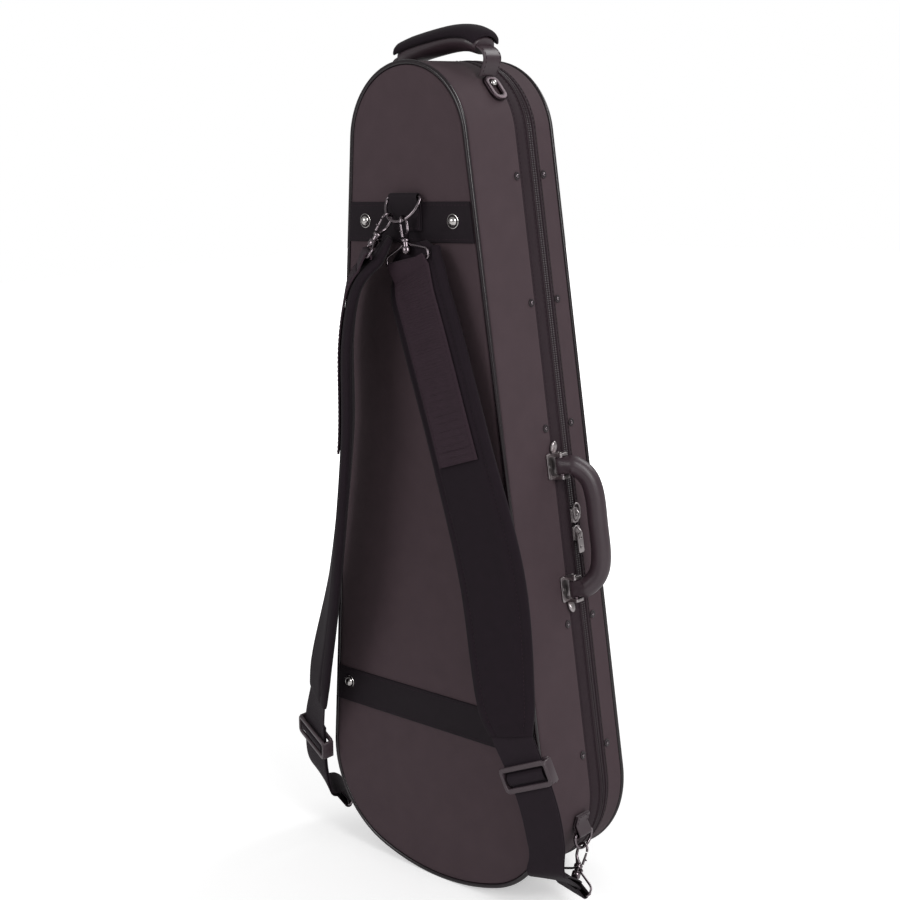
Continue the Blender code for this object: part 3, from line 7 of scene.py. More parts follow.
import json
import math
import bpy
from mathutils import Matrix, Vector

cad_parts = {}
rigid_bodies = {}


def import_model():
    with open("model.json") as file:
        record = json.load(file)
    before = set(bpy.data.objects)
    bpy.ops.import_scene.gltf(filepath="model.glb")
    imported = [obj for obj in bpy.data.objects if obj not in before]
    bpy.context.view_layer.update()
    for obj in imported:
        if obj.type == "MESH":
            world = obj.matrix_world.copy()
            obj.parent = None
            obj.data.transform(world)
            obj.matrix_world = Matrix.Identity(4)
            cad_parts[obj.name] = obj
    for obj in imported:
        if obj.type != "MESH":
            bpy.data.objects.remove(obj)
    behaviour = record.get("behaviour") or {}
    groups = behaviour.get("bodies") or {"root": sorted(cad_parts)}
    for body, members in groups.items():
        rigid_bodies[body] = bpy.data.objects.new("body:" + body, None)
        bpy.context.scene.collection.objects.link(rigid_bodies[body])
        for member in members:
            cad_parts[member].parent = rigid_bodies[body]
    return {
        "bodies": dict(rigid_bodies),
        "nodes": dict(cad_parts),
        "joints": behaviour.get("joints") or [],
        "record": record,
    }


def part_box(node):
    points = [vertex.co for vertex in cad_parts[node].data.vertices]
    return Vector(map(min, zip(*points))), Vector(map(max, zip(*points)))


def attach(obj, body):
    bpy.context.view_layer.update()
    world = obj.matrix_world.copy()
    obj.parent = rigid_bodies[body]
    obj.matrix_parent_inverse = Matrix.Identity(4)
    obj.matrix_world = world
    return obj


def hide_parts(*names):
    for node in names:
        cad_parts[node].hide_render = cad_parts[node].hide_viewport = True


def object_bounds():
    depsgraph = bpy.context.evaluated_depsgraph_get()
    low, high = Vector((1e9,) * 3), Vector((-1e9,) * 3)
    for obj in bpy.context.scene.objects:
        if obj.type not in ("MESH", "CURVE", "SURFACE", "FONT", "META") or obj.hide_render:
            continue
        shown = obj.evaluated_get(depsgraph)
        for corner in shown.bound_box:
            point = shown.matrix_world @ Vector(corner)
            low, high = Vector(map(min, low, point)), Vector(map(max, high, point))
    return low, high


bl_info = {
    "name": "Viola case",
    "version": (1, 0, 0),
    "blender": (4, 5, 0),
    "location": "3D View > Sidebar > Viola case",
    "description": "Models the canvas, piping, zip, straps, handles and fittings of a shaped viola case",
    "category": "Add Mesh",
}

import bpy
from bpy.props import FloatProperty, FloatVectorProperty
from mathutils import Matrix, Vector
from mathutils.geometry import interpolate_bezier

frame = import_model()
CAD_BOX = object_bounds()

GAP = 0.0003
MERGE = 0.000002

# Outline of the case, seen from the strap side
CASE_LENGTH = 0.780
CASE_WIDTH = 0.280
TOP_RADIUS = 0.072
LOBE_RADIUS = 0.095
BOTTOM_RADIUS = 0.230
TOP_STEPS = 56
LOBE_STEPS = 28
BOTTOM_STEPS = 24
BASE_FLATS = 5                  # the solid's base has this many flats, which set its height

# Depths of the shells, from the solids
Y_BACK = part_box("back_shell")[0].y
Y_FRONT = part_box("front_pad")[1].y
Y_LID_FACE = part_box("lid_shell")[1].y
Y_SEAM = (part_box("back_zip")[1].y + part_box("lid_zip")[0].y) / 2
WALL = 0.012
PANEL = 0.008
LIP_WIDTH = 0.0045
LIP_CLEARANCE = 0.001
LIP_RISE = 0.0082
ZIP_CHANNEL = 0.0056
PIPING_RADIUS = 0.0022
PIPING_PROUD = 0.001
BACK_TAPE_WIDTH = 0.0170
LID_TAPE_WIDTH = 0.0056
TAPE_THICKNESS = 0.001
CHAIN_HALF_WIDTH = 0.0028
CHAIN_PROUD = 0.0008
BEAD_RADIUS = 0.0009            # the cord sewn into each tape beside the teeth
BEAD_FROM_SEAM = 0.0046
PIPING_INSET = PIPING_RADIUS - PIPING_PROUD
REBATE = PIPING_INSET + PIPING_RADIUS + GAP
RECESS = TAPE_THICKNESS + GAP
Y_FLOOR = Y_BACK + PANEL
Y_CEILING = Y_LID_FACE - PANEL
Y_LIP = Y_SEAM + LIP_RISE
Y_BACK_RIM = Y_SEAM - ZIP_CHANNEL
Y_LID_RIM = Y_SEAM + ZIP_CHANNEL
Y_BACK_TAPE = Y_SEAM - GAP / 2 - CHAIN_HALF_WIDTH - BACK_TAPE_WIDTH
Y_LID_TAPE = Y_SEAM + GAP / 2 + CHAIN_HALF_WIDTH + LID_TAPE_WIDTH

# Webbing bands and the studs on them
BAND_HEIGHT = 0.036
BAND_THICKNESS = 0.0013
BAND_TOP = BAND_THICKNESS + GAP
UPPER_BAND_Z = CASE_LENGTH - 0.141
LOWER_BAND_Z = 0.174
STUD_PLACES = ((0.055, 0.640), (0.112, 0.1775))         # out from the middle, and height
RIVET_HEIGHTS = (0.142, 0.2675, 0.4496, 0.5635, 0.676)
BACK_RIVETS_Y = -0.002
LID_RIVETS_Y = 0.0352

# Rings and snap hooks
RING_WIRE = 0.002
RING_CORNER = 0.0026
RING_DRAWN = 0.0015             # the bent wire itself, slimmer than its solid
TOP_RING_HALF = 0.0205
TOP_RING_REACH = 0.024
TOP_RING_TILT = 28
TOP_LOOP_WIDTH = 0.035
TOP_LOOP_RISE = 0.0225
TOP_LOOP_TAIL = 0.030
LOOP_THICKNESS = 0.0014
LOWER_RING_HALF = 0.0125
LOWER_RING_REACH = 0.015
LOWER_RING_Z = 0.0700
LOWER_RING_PROUD = 0.008
LOWER_RING_INSET = 0.0148
LOWER_LOOP_WIDTH = 0.018
LOWER_LOOP_TAIL = 0.0175
HOOK_TOP = 0.0376
HOOK_WIRE = 0.0024
HOOK_BOW = (0.0050, 0.0014)     # the drawn bow: half its width, and its wire
BARREL_RADIUS = 0.0042
NECK_RADIUS = 0.0028
BARREL_HEIGHT = 0.006
NECK_TOP = 0.0098
SHOULDER_TOP = 0.0126
GATE_RADIUS = 0.0014
GATE_FOOT = (0.0047, 0.0143)
EYE_WIRE = 0.0015
EYE_DRAWN = 0.0011
EYE_DROP = 0.009
EYE_SHOULDER = 0.001
EYE_CORNER = 0.0023

# Straps
PAD_THICKNESS = 0.011
PAD_END_THICKNESS = 0.006
PAD_SETBACK = 0.0104            # the pad's upper end stands this far behind the eye's bar
PAD_EASE = 0.038                # below the bar, where the pad is back on its route
PAD_LEAD_WIDTH = 0.5            # share of the width at the rounded end, above the bar
RIBBED_WIDTH = 0.048
RIBBED_THICKNESS = 0.002
RIBBED_END = 0.186              # from the bar down to the webbing's end
WEBBING_WIDTH = 0.040
WEBBING_THICKNESS = 0.0016
UPPER_EYE_HALF = 0.0265
LOWER_EYE_HALF = 0.0240
STRAP_SAMPLES = 16
COARSE = STRAP_SAMPLES // 4     # sections here for each one of the solid straps
LEAD_STEPS = 3 * COARSE
SEAM_START = 2 * COARSE         # where the ribbed webbing meets the pad
FOLD_CLEARANCE = 0.0009
FOLD_STEPS = 14
FOLD_LEAD = 0.015
RETURN_PAST_GLIDE = 4 * COARSE
GLIDE_WIDTH = 0.052
GLIDE_HEIGHT = 0.025
GLIDE_THICKNESS = 0.0030
GLIDE_BAR = 0.0050
GLIDE_CLEARANCE = 0.0014

# Side handle
HANDLE_Z = 0.3575
HANDLE_HALF_SPAN = 0.0575
HANDLE_REACH = 0.0275
HANDLE_LEAN = 36
HANDLE_HALF = 0.0092
HANDLE_ROOT = 0.0086            # half the moulding between the ears
PIN_LIFT = 0.009
PIN_RADIUS = 0.0015
BUSH_RADIUS = 0.0030
EAR_THICKNESS = 0.0031
EAR_WIDTH = 0.0105
BRACKET_THICKNESS = 0.0015
BRACKET_WIDTH = 0.020
BRACKET_INNER = 0.0118
BRACKET_OUTER = 0.0118
LEAF_LENGTH = 0.0120
LEAF_WIDTH = 0.0085
LEAF_TILT = 0.26
Y_HANDLE = Y_BACK_TAPE + 0.0005

# Top handle
FITTING_ANGLE = 52
TOP_HANDLE_Y = -0.007
FRAME_WIDTH = 0.0195
FRAME_LENGTH = 0.027
FRAME_THICKNESS = 0.0032
SLOT_WIDTH = 0.0085
SLOT_LENGTH = 0.0165
TOP_STUD_RADIUS = 0.0033
TOP_STUD_HEIGHT = 0.0058
TOP_STRAP_WIDTH = 0.023
TOP_STRAP_THICKNESS = 0.0028
TOP_STRAP_BEND = (0.011, 0.015)
GRIP_HALF_WIDTH = 0.016
GRIP_HALF_HEIGHT = 0.0092
GRIP_STATIONS = ((-0.049, 0.0060), (-0.030, 0.0108), (0.000, 0.0150), (0.020, 0.0163),
                 (0.036, 0.0145), (0.047, 0.0095))
WRAP_CLEARANCE = 0.0005
WRAP_THICKNESS = (0.0042, 0.0050)
WRAP_EDGE_ANGLE = 14

# Zip sliders, their pulls and the hinge
UPPER_SLIDER_Z = 0.3650
LOWER_SLIDER_Z = 0.3480
SLIDER_LENGTH = 0.0145
SLIDER_HALF_WIDTH = 0.0054
SLIDER_FOOT = CHAIN_PROUD + GAP
SLIDER_TOP = SLIDER_FOOT + 0.0020
CROWN_TOP = 0.0080
CROWN_HALF = 0.0016
CROWN_BAR = 0.0012
CROWN_HOLE = 0.0015
RING_PULL_HALF = 0.0042
RING_PULL_REACH = 0.011
PULL_WIRE = 0.0008
TAB_WIDTH = 0.0078
TAB_LENGTH = 0.0185
TAB_THICKNESS = 0.0016
HINGE_Z = 0.400
HINGE_LENGTH = 0.120
HINGE_LEAF_WIDTH = 0.0125
HINGE_SHEET = 0.0012
HINGE_PIN_RADIUS = 0.0015
KNUCKLE_RADIUS = HINGE_PIN_RADIUS + 0.0001 + HINGE_SHEET
KNUCKLE_LENGTH = 0.040

# Inside the case
LINING_THICKNESS = 0.006
NECK_CHANNEL = 0.052
BOX_LOW = 0.470
BOX_HIGH = 0.620
BOX_DEPTH = 0.044
BOX_WALL = 0.003
BOX_LID_THICKNESS = 0.0025
CLIP_X = 0.045
CLIP_Z = 0.190
CLIP_STEM = 0.004
CLIP_STEM_HEIGHT = 0.009
CLIP_ARM = 0.028
CLIP_ROUND = 0.007
CLIP_BLADE = 0.003

# The camera of the photograph, in metres and as directions
CAMERA_PLACE = Vector((0.9442, -1.0236, 0.7057))
CAMERA_RIGHT = Vector((0.7326, 0.6796, -0.0387))
CAMERA_FORWARD = Vector((-0.6718, 0.7127, -0.2019))
CAMERA_LENS = 59.2              # millimetres, on a 36 mm sensor

UP = Vector((0, 0, 1))
RIGHT = Vector((1, 0, 0))
FORWARD = Vector((0, 1, 0))
LEFT_SIDE, RIGHT_SIDE = -1, 1
SIDES = ((LEFT_SIDE, "left"), (RIGHT_SIDE, "right"))


def colour(text, words):
    """A colour property from an sRGB hex value."""
    return FloatVectorProperty(name=words, description=f"Colour of the {words.lower()}", subtype='COLOR',
                               size=3, min=0, max=1, default=linear(text))


def linear(text):
    """Three linear values from an sRGB hex value."""
    values = [int(text[i:i + 2], 16) / 255 for i in (1, 3, 5)]
    return tuple(v / 12.92 if v <= 0.04045 else ((v + 0.055) / 1.055) ** 2.4 for v in values)


def length(value, words, about):
    return FloatProperty(name=words, description=about, default=value, min=0, subtype='DISTANCE', unit='LENGTH')


class ViolaCaseSizes(bpy.types.PropertyGroup):
    """Sizes of the details that are worked into the case."""
    canvas_thread: length(0.0011, "Canvas thread", "Spacing of the canvas threads, drawn coarse to show")
    webbing_rib: length(0.0029, "Webbing rib", "Spacing of the ribs across the padded straps' webbing")
    stitch_pitch: length(0.0042, "Stitch pitch", "From one stitch to the next")
    stitch_length: length(0.0030, "Stitch length", "Length of the thread that shows")
    tooth_pitch: length(0.0021, "Tooth pitch", "From one turn of the zip's coil to the next")


class ViolaCaseColours(bpy.types.PropertyGroup):
    """Colours of the finishes."""
    canvas: colour("#44363B", "Canvas")
    piping: colour("#1A1116", "Piping")
    zip_tape: colour("#2B1F25", "Zip tape")
    band: colour("#160C14", "Band webbing")
    pad: colour("#190F17", "Strap pad")
    webbing: colour("#2E1F28", "Strap webbing")
    tail_webbing: colour("#1B1019", "Lower webbing")
    vinyl: colour("#3A2D33", "Handle vinyl")
    plastic: colour("#43383D", "Glide plastic")
    nickel: colour("#CFCBC9", "Nickel")
    gunmetal: colour("#857B80", "Gun metal")
    satin: colour("#ACA5A6", "Satin nickel")
    blackened: colour("#453A3F", "Blackened frame")
    enamel_and_groove_shade: colour("#2E262A", "Rivet enamel")
    # Rivet enamel; the same colour is painted into the band studs' grooves as shade.
    plush: colour("#55504F", "Plush")


def node(tree, kind, inputs=None, **settings):
    """Add a node with its settings; each input takes a value or a socket."""
    made = tree.nodes.new(kind)
    for name, value in settings.items():
        setattr(made, name, value)
    for name, value in (inputs or {}).items():
        if isinstance(value, bpy.types.NodeSocket):
            tree.links.new(value, made.inputs[name])
        else:
            made.inputs[name].default_value = value
    return made


def new_material(name, **values):
    """A Principled material with uniform values on the shader's own sockets."""
    material = bpy.data.materials.new(name)
    material.use_nodes = True
    shader = material.node_tree.nodes["Principled BSDF"]
    for socket, value in values.items():
        shader.inputs[socket.replace("_", " ")].default_value = value
    return material, material.node_tree, shader


def waves(tree, coordinate, pitch):
    """A sine along one coordinate, one turn for each pitch."""
    turn = node(tree, "ShaderNodeMath", {0: coordinate, 1: 2 * math.pi / pitch}, operation='MULTIPLY')
    return node(tree, "ShaderNodeMath", {0: turn.outputs[0]}, operation='SINE').outputs[0]


def combine(tree, operation, first, second):
    return node(tree, "ShaderNodeMath", {0: first, 1: second}, operation=operation).outputs[0]


def mottled(tree, shader, base, share, size, vector):
    """Colour that drifts a little lighter and darker over the surface."""
    noise = node(tree, "ShaderNodeTexNoise", {"Vector": vector, "Scale": 1 / size, "Detail": 4.0})
    ramp = node(tree, "ShaderNodeMapRange", {"Value": noise.outputs[0], "From Min": 0.3, "From Max": 0.7,
                                             "To Min": 1 - share, "To Max": 1 + share})
    mixed = node(tree, "ShaderNodeVectorMath", {0: tuple(base), "Scale": ramp.outputs[0]}, operation='SCALE')
    tree.links.new(mixed.outputs[0], shader.inputs["Base Color"])


def relief(tree, shader, height, distance, strength=1.0):
    """Bump from a height socket, in metres."""
    bump = node(tree, "ShaderNodeBump", {"Height": height, "Distance": distance, "Strength": strength})
    tree.links.new(bump.outputs[0], shader.inputs["Normal"])


def grain(tree, vector, size, detail=3.0):
    return node(tree, "ShaderNodeTexNoise", {"Vector": vector, "Scale": 1 / size, "Detail": detail}).outputs[0]


def canvas_finish(colours, sizes):
    """Polyester canvas, plain woven and glued over the shell: dull, with a fine even thread."""
    material, tree, shader = new_material("woven_canvas", Roughness=0.80, Sheen_Weight=0.03,
                                          Sheen_Roughness=0.5, Specular_IOR_Level=0.25)
    place = node(tree, "ShaderNodeTexCoord").outputs["Object"]
    split = node(tree, "ShaderNodeSeparateXYZ", {0: place})
    across = combine(tree, 'ADD', split.outputs[0], split.outputs[1])
    warp = waves(tree, across, sizes.canvas_thread)
    weft = waves(tree, split.outputs[2], sizes.canvas_thread)
    weave = combine(tree, 'MULTIPLY', warp, weft)
    slub = combine(tree, 'MULTIPLY', grain(tree, place, 0.0016), 0.9)
    relief(tree, shader, combine(tree, 'ADD', weave, slub), 0.00010, 0.5)
    mottled(tree, shader, colours.canvas, 0.05, 0.02, place)
    return material


def vinyl_finish(name, base, roughness, size, depth, coat):
    """Calendered vinyl over a core: a fine hide grain under a soft gloss."""
    material, tree, shader = new_material(name, Roughness=roughness, Coat_Weight=coat, Coat_Roughness=0.2)
    place = node(tree, "ShaderNodeTexCoord").outputs["Object"]
    cells = node(tree, "ShaderNodeTexVoronoi", {"Vector": place, "Scale": 1 / size}, feature='SMOOTH_F1')
    relief(tree, shader, cells.outputs[0], depth, 0.5)
    mottled(tree, shader, base, 0.06, 0.012, place)
    return material


def webbing_finish(name, base, pitch, lean, depth):
    """Woven polyester webbing: rows of yarn that lean across the strap."""
    material, tree, shader = new_material(name, Roughness=0.75, Sheen_Weight=0.03, Sheen_Roughness=0.45,
                                          Specular_IOR_Level=0.25)
    run = node(tree, "ShaderNodeTexCoord").outputs["UV"]
    split = node(tree, "ShaderNodeSeparateXYZ", {0: run})
    leaning = combine(tree, 'MULTIPLY', split.outputs[0], lean)
    rows = waves(tree, combine(tree, 'ADD', split.outputs[1], leaning), pitch)
    yarns = waves(tree, split.outputs[0], pitch * 0.6)
    height = combine(tree, 'ADD', rows, combine(tree, 'MULTIPLY', yarns, 0.5))
    relief(tree, shader, height, depth, 0.6)
    place = node(tree, "ShaderNodeTexCoord").outputs["Object"]
    mottled(tree, shader, base, 0.08, 0.006, place)
    return material


def fabric_finish(name, base, size, depth, sheen):
    """Brushed or knitted cover cloth: matt, with a soft nap."""
    material, tree, shader = new_material(name, Roughness=0.9, Sheen_Weight=sheen, Sheen_Roughness=0.4,
                                          Specular_IOR_Level=0.25)
    place = node(tree, "ShaderNodeTexCoord").outputs["Object"]
    relief(tree, shader, grain(tree, place, size, 6.0), depth, 0.7)
    mottled(tree, shader, base, 0.08, 0.01, place)
    return material


def metal_finish(name, base, roughness, spread):
    """Plated zinc or steel: polished before plating, with faint wear in its gloss."""
    material, tree, shader = new_material(name, Metallic=1.0, Base_Color=(*base, 1))
    place = node(tree, "ShaderNodeTexCoord").outputs["Object"]
    wear = node(tree, "ShaderNodeMapRange", {"Value": grain(tree, place, 0.004, 6.0), "To Min": roughness - spread,
                                             "To Max": roughness + spread})
    tree.links.new(wear.outputs[0], shader.inputs["Roughness"])
    relief(tree, shader, grain(tree, place, 0.0015), 0.00003, 0.4)
    return material


def moulded_finish(name, base, roughness):
    """Injection moulded nylon or enamelled metal: even colour with a faint orange peel."""
    material, tree, shader = new_material(name, Roughness=roughness)
    place = node(tree, "ShaderNodeTexCoord").outputs["Object"]
    relief(tree, shader, grain(tree, place, 0.0012), 0.00004, 0.4)
    mottled(tree, shader, base, 0.05, 0.006, place)
    return material


def make_finishes(context):
    """All the case's materials, by the name of the finish."""
    colours, sizes = context.scene.viola_case_colours, context.scene.viola_case_sizes
    return {
        "canvas": canvas_finish(colours, sizes),
        "piping_vinyl": vinyl_finish("piping_vinyl", colours.piping, 0.26, 0.0009, 0.00002, 0.12),
        "handle_vinyl": vinyl_finish("handle_vinyl", colours.vinyl, 0.40, 0.0010, 0.00004, 0.1),
        "zip_nylon": webbing_finish("zip_tape", colours.zip_tape, 0.0010, 0.0, 0.00006),
        "coil": moulded_finish("zip_coil", colours.zip_tape, 0.38),
        "band_webbing": webbing_finish("band_webbing", colours.band, 0.0016, 1.0, 0.00008),
        "strap_webbing": webbing_finish("strap_webbing", colours.webbing, 0.0014, 1.0, 0.00008),
        "tail_webbing": webbing_finish("lower_webbing", colours.tail_webbing, 0.0014, 1.0, 0.00008),
        "strap_pad": fabric_finish("pad_cloth", colours.pad, 0.0012, 0.00010, 0.04),
        "glide_plastic": moulded_finish("glide_plastic", colours.plastic, 0.32),
        "thread": fabric_finish("sewing_thread", colours.webbing, 0.0006, 0.00005, 0.02),
        "nickel": metal_finish("polished_nickel", colours.nickel, 0.16, 0.05),
        "satin": metal_finish("satin_nickel", colours.satin, 0.34, 0.06),
        "blackened": metal_finish("blackened_frame", colours.blackened, 0.32, 0.06),
        "gunmetal": metal_finish("gunmetal_plate", colours.gunmetal, 0.22, 0.05),
        # Dark enamel for the rivet washers, also painted into the band studs' grooves as shade.
        "enamel_and_groove_shade": moulded_finish("rivet_enamel", colours.enamel_and_groove_shade, 0.36),
        "plush": fabric_finish("plush", colours.plush, 0.0018, 0.00030, 0.25),
    }


FINISHES = {}


def deselect():
    bpy.ops.object.select_all(action='DESELECT')


def choose(*pieces):
    """Select pieces, with the first one active."""
    deselect()
    for piece in pieces:
        piece.select_set(True)
    bpy.context.view_layer.objects.active = pieces[0]


def run_lengths(points):
    """Distance along a line of points, at each of them."""
    lengths = [0.0]
    for here, there in zip(points, points[1:]):
        lengths.append(lengths[-1] + (there - here).length)
    return lengths


def loft(name, rows, ring=True, closed=False):
    """A grid shaped over rows of points. A ring closes across each row, a closed loft along them."""
    rows = [list(row) + [row[0]] * ring for row in rows]
    rows += [rows[0]] * closed
    columns = len(rows[0])
    deselect()
    bpy.ops.mesh.primitive_grid_add(x_subdivisions=columns - 1, y_subdivisions=len(rows) - 1)
    piece = bpy.context.object
    piece.name = piece.data.name = name
    mesh = piece.data
    mesh.vertices.foreach_set("co", [value for row in rows for point in row for value in point])
    across = run_lengths(rows[len(rows) // 2])
    along = run_lengths([row[0] for row in rows])
    places = [(across[loop.vertex_index % columns], along[loop.vertex_index // columns]) for loop in mesh.loops]
    mesh.uv_layers.active.data.foreach_set("uv", [value for place in places for value in place])
    bpy.ops.object.mode_set(mode='EDIT')
    bpy.ops.mesh.select_all(action='SELECT')
    bpy.ops.mesh.remove_doubles(threshold=MERGE)
    if ring:
        bpy.ops.mesh.fill_holes(sides=0)
    bpy.ops.mesh.normals_make_consistent(inside=False)
    bpy.ops.object.mode_set(mode='OBJECT')
    return piece


def apply_modifier(piece, kind, **settings):
    choose(piece)
    modifier = piece.modifiers.new(kind.title(), kind)
    for name, value in settings.items():
        setattr(modifier, name, value)
    bpy.ops.object.modifier_apply(modifier=modifier.name)


def bevelled(piece, width, segments=3, angle=40):
    apply_modifier(piece, 'BEVEL', width=width, segments=segments, limit_method='ANGLE',
                   angle_limit=math.radians(angle), use_clamp_overlap=True)
    return piece


def joined(name, pieces):
    choose(*pieces)
    if len(pieces) > 1:
        bpy.ops.object.join()
    pieces[0].name = pieces[0].data.name = name
    return pieces[0]


def repeated(name, model, places):
    """Copies of a small model, one at each place, joined into one mesh."""
    copies = []
    for place in places:
        copy = model.copy()
        copy.data = model.data.copy()
        copy.matrix_world = place.matrix()
        bpy.context.scene.collection.objects.link(copy)
        copies.append(copy)
    bpy.data.objects.remove(model)
    piece = joined(name, copies)
    bpy.ops.object.transform_apply(location=True, rotation=True, scale=True)
    return piece


def finished(piece, finish, body, replaces=(), smooth=40):
    """Smooth a piece, give it its material and body, and hide the solids that it stands for."""
    choose(piece)
    bpy.ops.object.shade_smooth_by_angle(angle=math.radians(smooth))
    piece.data.materials.clear()
    piece.data.materials.append(FINISHES[finish])
    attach(piece, body)
    if replaces:
        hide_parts(*replaces)
    return piece


def painted(piece, finish, test):
    """Give the faces that pass a test another finish."""
    piece.data.materials.append(FINISHES[finish])
    for face in piece.data.polygons:
        if test(face.center, face.normal):
            face.material_index = 1


class Place:
    """A point with three directions of its own."""

    def __init__(self, point, a, b, c):
        self.point, self.a, self.b, self.c = Vector(point), Vector(a), Vector(b), Vector(c)

    def at(self, a=0.0, b=0.0, c=0.0):
        return self.point + self.a * a + self.b * b + self.c * c

    def moved(self, a=0.0, b=0.0, c=0.0):
        return Place(self.at(a, b, c), self.a, self.b, self.c)

    def matrix(self):
        turned = Matrix((self.a, self.b, self.c)).transposed().to_4x4()
        return Matrix.Translation(self.point) @ turned


def arc_steps(start, end, steps):
    return [start + (end - start) * i / steps for i in range(steps + 1)]


def circle(place, radius, height, sides):
    return [place.at(radius * math.cos(t), radius * math.sin(t), height)
            for t in arc_steps(0, 2 * math.pi, sides)[:-1]]


def turned(name, place, profile, sides=32):
    """A turned piece about a place's c direction, from (radius, height) pairs."""
    return loft(name, [circle(place, max(radius, 0), height, sides) for radius, height in profile])


def wire(name, points, radii, normal, sides=12, closed=False, flat=1.0):
    """A round or flattened wire along points, with one direction kept as its side."""
    radii = radii if isinstance(radii, (list, tuple)) else [radii] * len(points)
    rows, last = [], len(points) - 1
    for i, point in enumerate(points):
        before = points[i - 1] if (i or closed) else point
        after = points[(i + 1) % len(points)] if (i < last or closed) else point
        along = (after - before).normalized()
        side = (normal - along * normal.dot(along)).normalized()
        place = Place(point, side * flat, along.cross(side), along)
        rows.append(circle(place, radii[i], 0, sides))
    return loft(name, rows, closed=closed)


def plate(name, place, shape, low, high, bevel=0.0):
    """A flat piece with an outline of (a, b) points, between two heights."""
    piece = loft(name, [[place.at(a, b, c) for a, b in shape] for c in (low, high)])
    return bevelled(piece, bevel) if bevel else piece


def ring_plate(name, place, outer, inner, low, high, bevel=0.0):
    """A flat piece with one window; both outlines have as many points."""
    levels = ((outer, low), (outer, high), (inner, high), (inner, low))
    piece = loft(name, [[place.at(a, b, c) for a, b in shape] for shape, c in levels], closed=True)
    return bevelled(piece, bevel) if bevel else piece


def rounded(half_a, half_b, radius, steps=6):
    """An outline with four round corners, from its right side on."""
    shape = []
    for sign_a, sign_b, start in ((1, -1, -90), (1, 1, 0), (-1, 1, 90), (-1, -1, 180)):
        for t in arc_steps(math.radians(start), math.radians(start + 90), steps):
            shape.append((sign_a * (half_a - radius) + radius * math.cos(t),
                          sign_b * (half_b - radius) + radius * math.sin(t)))
    return shape


def smooth_route(points, samples):
    """A smooth curve through points."""
    route = []
    for i in range(len(points) - 1):
        p1, p2 = points[i], points[i + 1]
        p0 = points[i - 1] if i else p1 * 2 - p2
        p3 = points[i + 2] if i + 2 < len(points) else p2 * 2 - p1
        for k in range(samples):
            t = k / samples
            route.append(0.5 * (2 * p1 + (p2 - p0) * t + (2 * p0 - 5 * p1 + 4 * p2 - p3) * t * t
                                + (3 * p1 - p0 - 3 * p2 + p3) * t * t * t))
    route.append(points[-1].copy())
    return route


def ribbon_places(centres, wides):
    """Places along a strap: a is across its width, b out of its face and c along it."""
    places = []
    for i, centre in enumerate(centres):
        along = (centres[min(i + 1, len(centres) - 1)] - centres[max(i - 1, 0)]).normalized()
        wide = (wides[i] - along * wides[i].dot(along)).normalized()
        places.append(Place(centre, wide, wide.cross(along), along))
    return places


def webbing_section(width, thickness, columns=10):
    """A flat strap's section with rounded selvedges, fine enough to crown a little."""
    half, t = width / 2, thickness / 2
    face = [(-half + t + (width - 2 * t) * i / columns, t) for i in range(columns + 1)]
    edge = [(half - t + t * math.cos(a), t * math.sin(a)) for a in arc_steps(math.pi / 2, -math.pi / 2, 6)[1:-1]]
    return face + edge + [(-a, -b) for a, b in face] + [(-a, -b) for a, b in edge]


def swept(name, places, sections):
    """A strap: one section, or one for each place, swept along the places."""
    if isinstance(sections[0], tuple):
        sections = [sections] * len(places)
    return loft(name, [[place.at(a, b) for a, b in section] for place, section in zip(places, sections)])


def stitch_model(sizes):
    """One stitch: a short bead of thread, long in a and flat in c."""
    deselect()
    bpy.ops.mesh.primitive_ico_sphere_add(subdivisions=1, radius=1)
    stitch = bpy.context.object
    stitch.data.transform(Matrix.Diagonal((sizes.stitch_length / 2, 0.00035, 0.0003, 1)))
    return stitch


def along_route(points, normals, pitch):
    """Places at an even pitch along a route: a runs along it and c is the surface's normal."""
    places, left = [], pitch / 2
    for i, (here, there) in enumerate(zip(points, points[1:])):
        step = there - here
        while left < step.length:
            along = step.normalized()
            normal = normals[i] - along * normals[i].dot(along)
            normal.normalize()
            places.append(Place(here + along * left, along, normal.cross(along), normal))
            left += pitch
        left -= step.length
    return places


def stitched(name, context, routes, body, finish="thread"):
    """Rows of stitches along routes, each a list of points with their surface normals."""
    sizes = context.scene.viola_case_sizes
    places = []
    for points, normals in routes:
        places += along_route(points, normals, sizes.stitch_pitch)
    return finished(repeated(name, stitch_model(sizes), places), finish, body)


class Outline:
    """The outline of the case, in the X-Z plane: arcs for its ends and straight flanks."""

    lobe_x = CASE_WIDTH / 2 - LOBE_RADIUS
    lobe_drop = math.sqrt((BOTTOM_RADIUS - LOBE_RADIUS) ** 2 - lobe_x ** 2)
    turn = math.atan2(-lobe_drop, lobe_x)
    facet = math.cos((math.pi / 2 + turn) / BASE_FLATS)
    top = Vector((0, CASE_LENGTH - TOP_RADIUS))
    bottom = Vector((0, BOTTOM_RADIUS * facet))
    lobe = Vector((lobe_x, bottom.y - lobe_drop))
    rise = top - lobe
    flank = math.atan2(rise.y, rise.x) - math.acos((LOBE_RADIUS - TOP_RADIUS) / rise.length)


def arc(centre, radius, start, end, steps):
    return [(centre[0] + radius * math.cos(a), centre[1] + radius * math.sin(a), a)
            for a in arc_steps(start, end, steps)]


def outline(offset):
    """The outline grown by an offset, as (x, z, angle of the normal)."""
    flank, turn = Outline.flank, Outline.turn
    left_lobe = (-Outline.lobe.x, Outline.lobe.y)
    top = arc(Outline.top, TOP_RADIUS + offset, flank, math.pi - flank, TOP_STEPS)
    left = arc(left_lobe, LOBE_RADIUS + offset, math.pi - flank, math.pi - turn, LOBE_STEPS)
    base = arc(Outline.bottom, BOTTOM_RADIUS + offset, math.pi - turn, 2 * math.pi + turn, BOTTOM_STEPS)
    right = arc(Outline.lobe, LOBE_RADIUS + offset, turn, flank, LOBE_STEPS)
    return top + left[:-1] + base + right[1:]


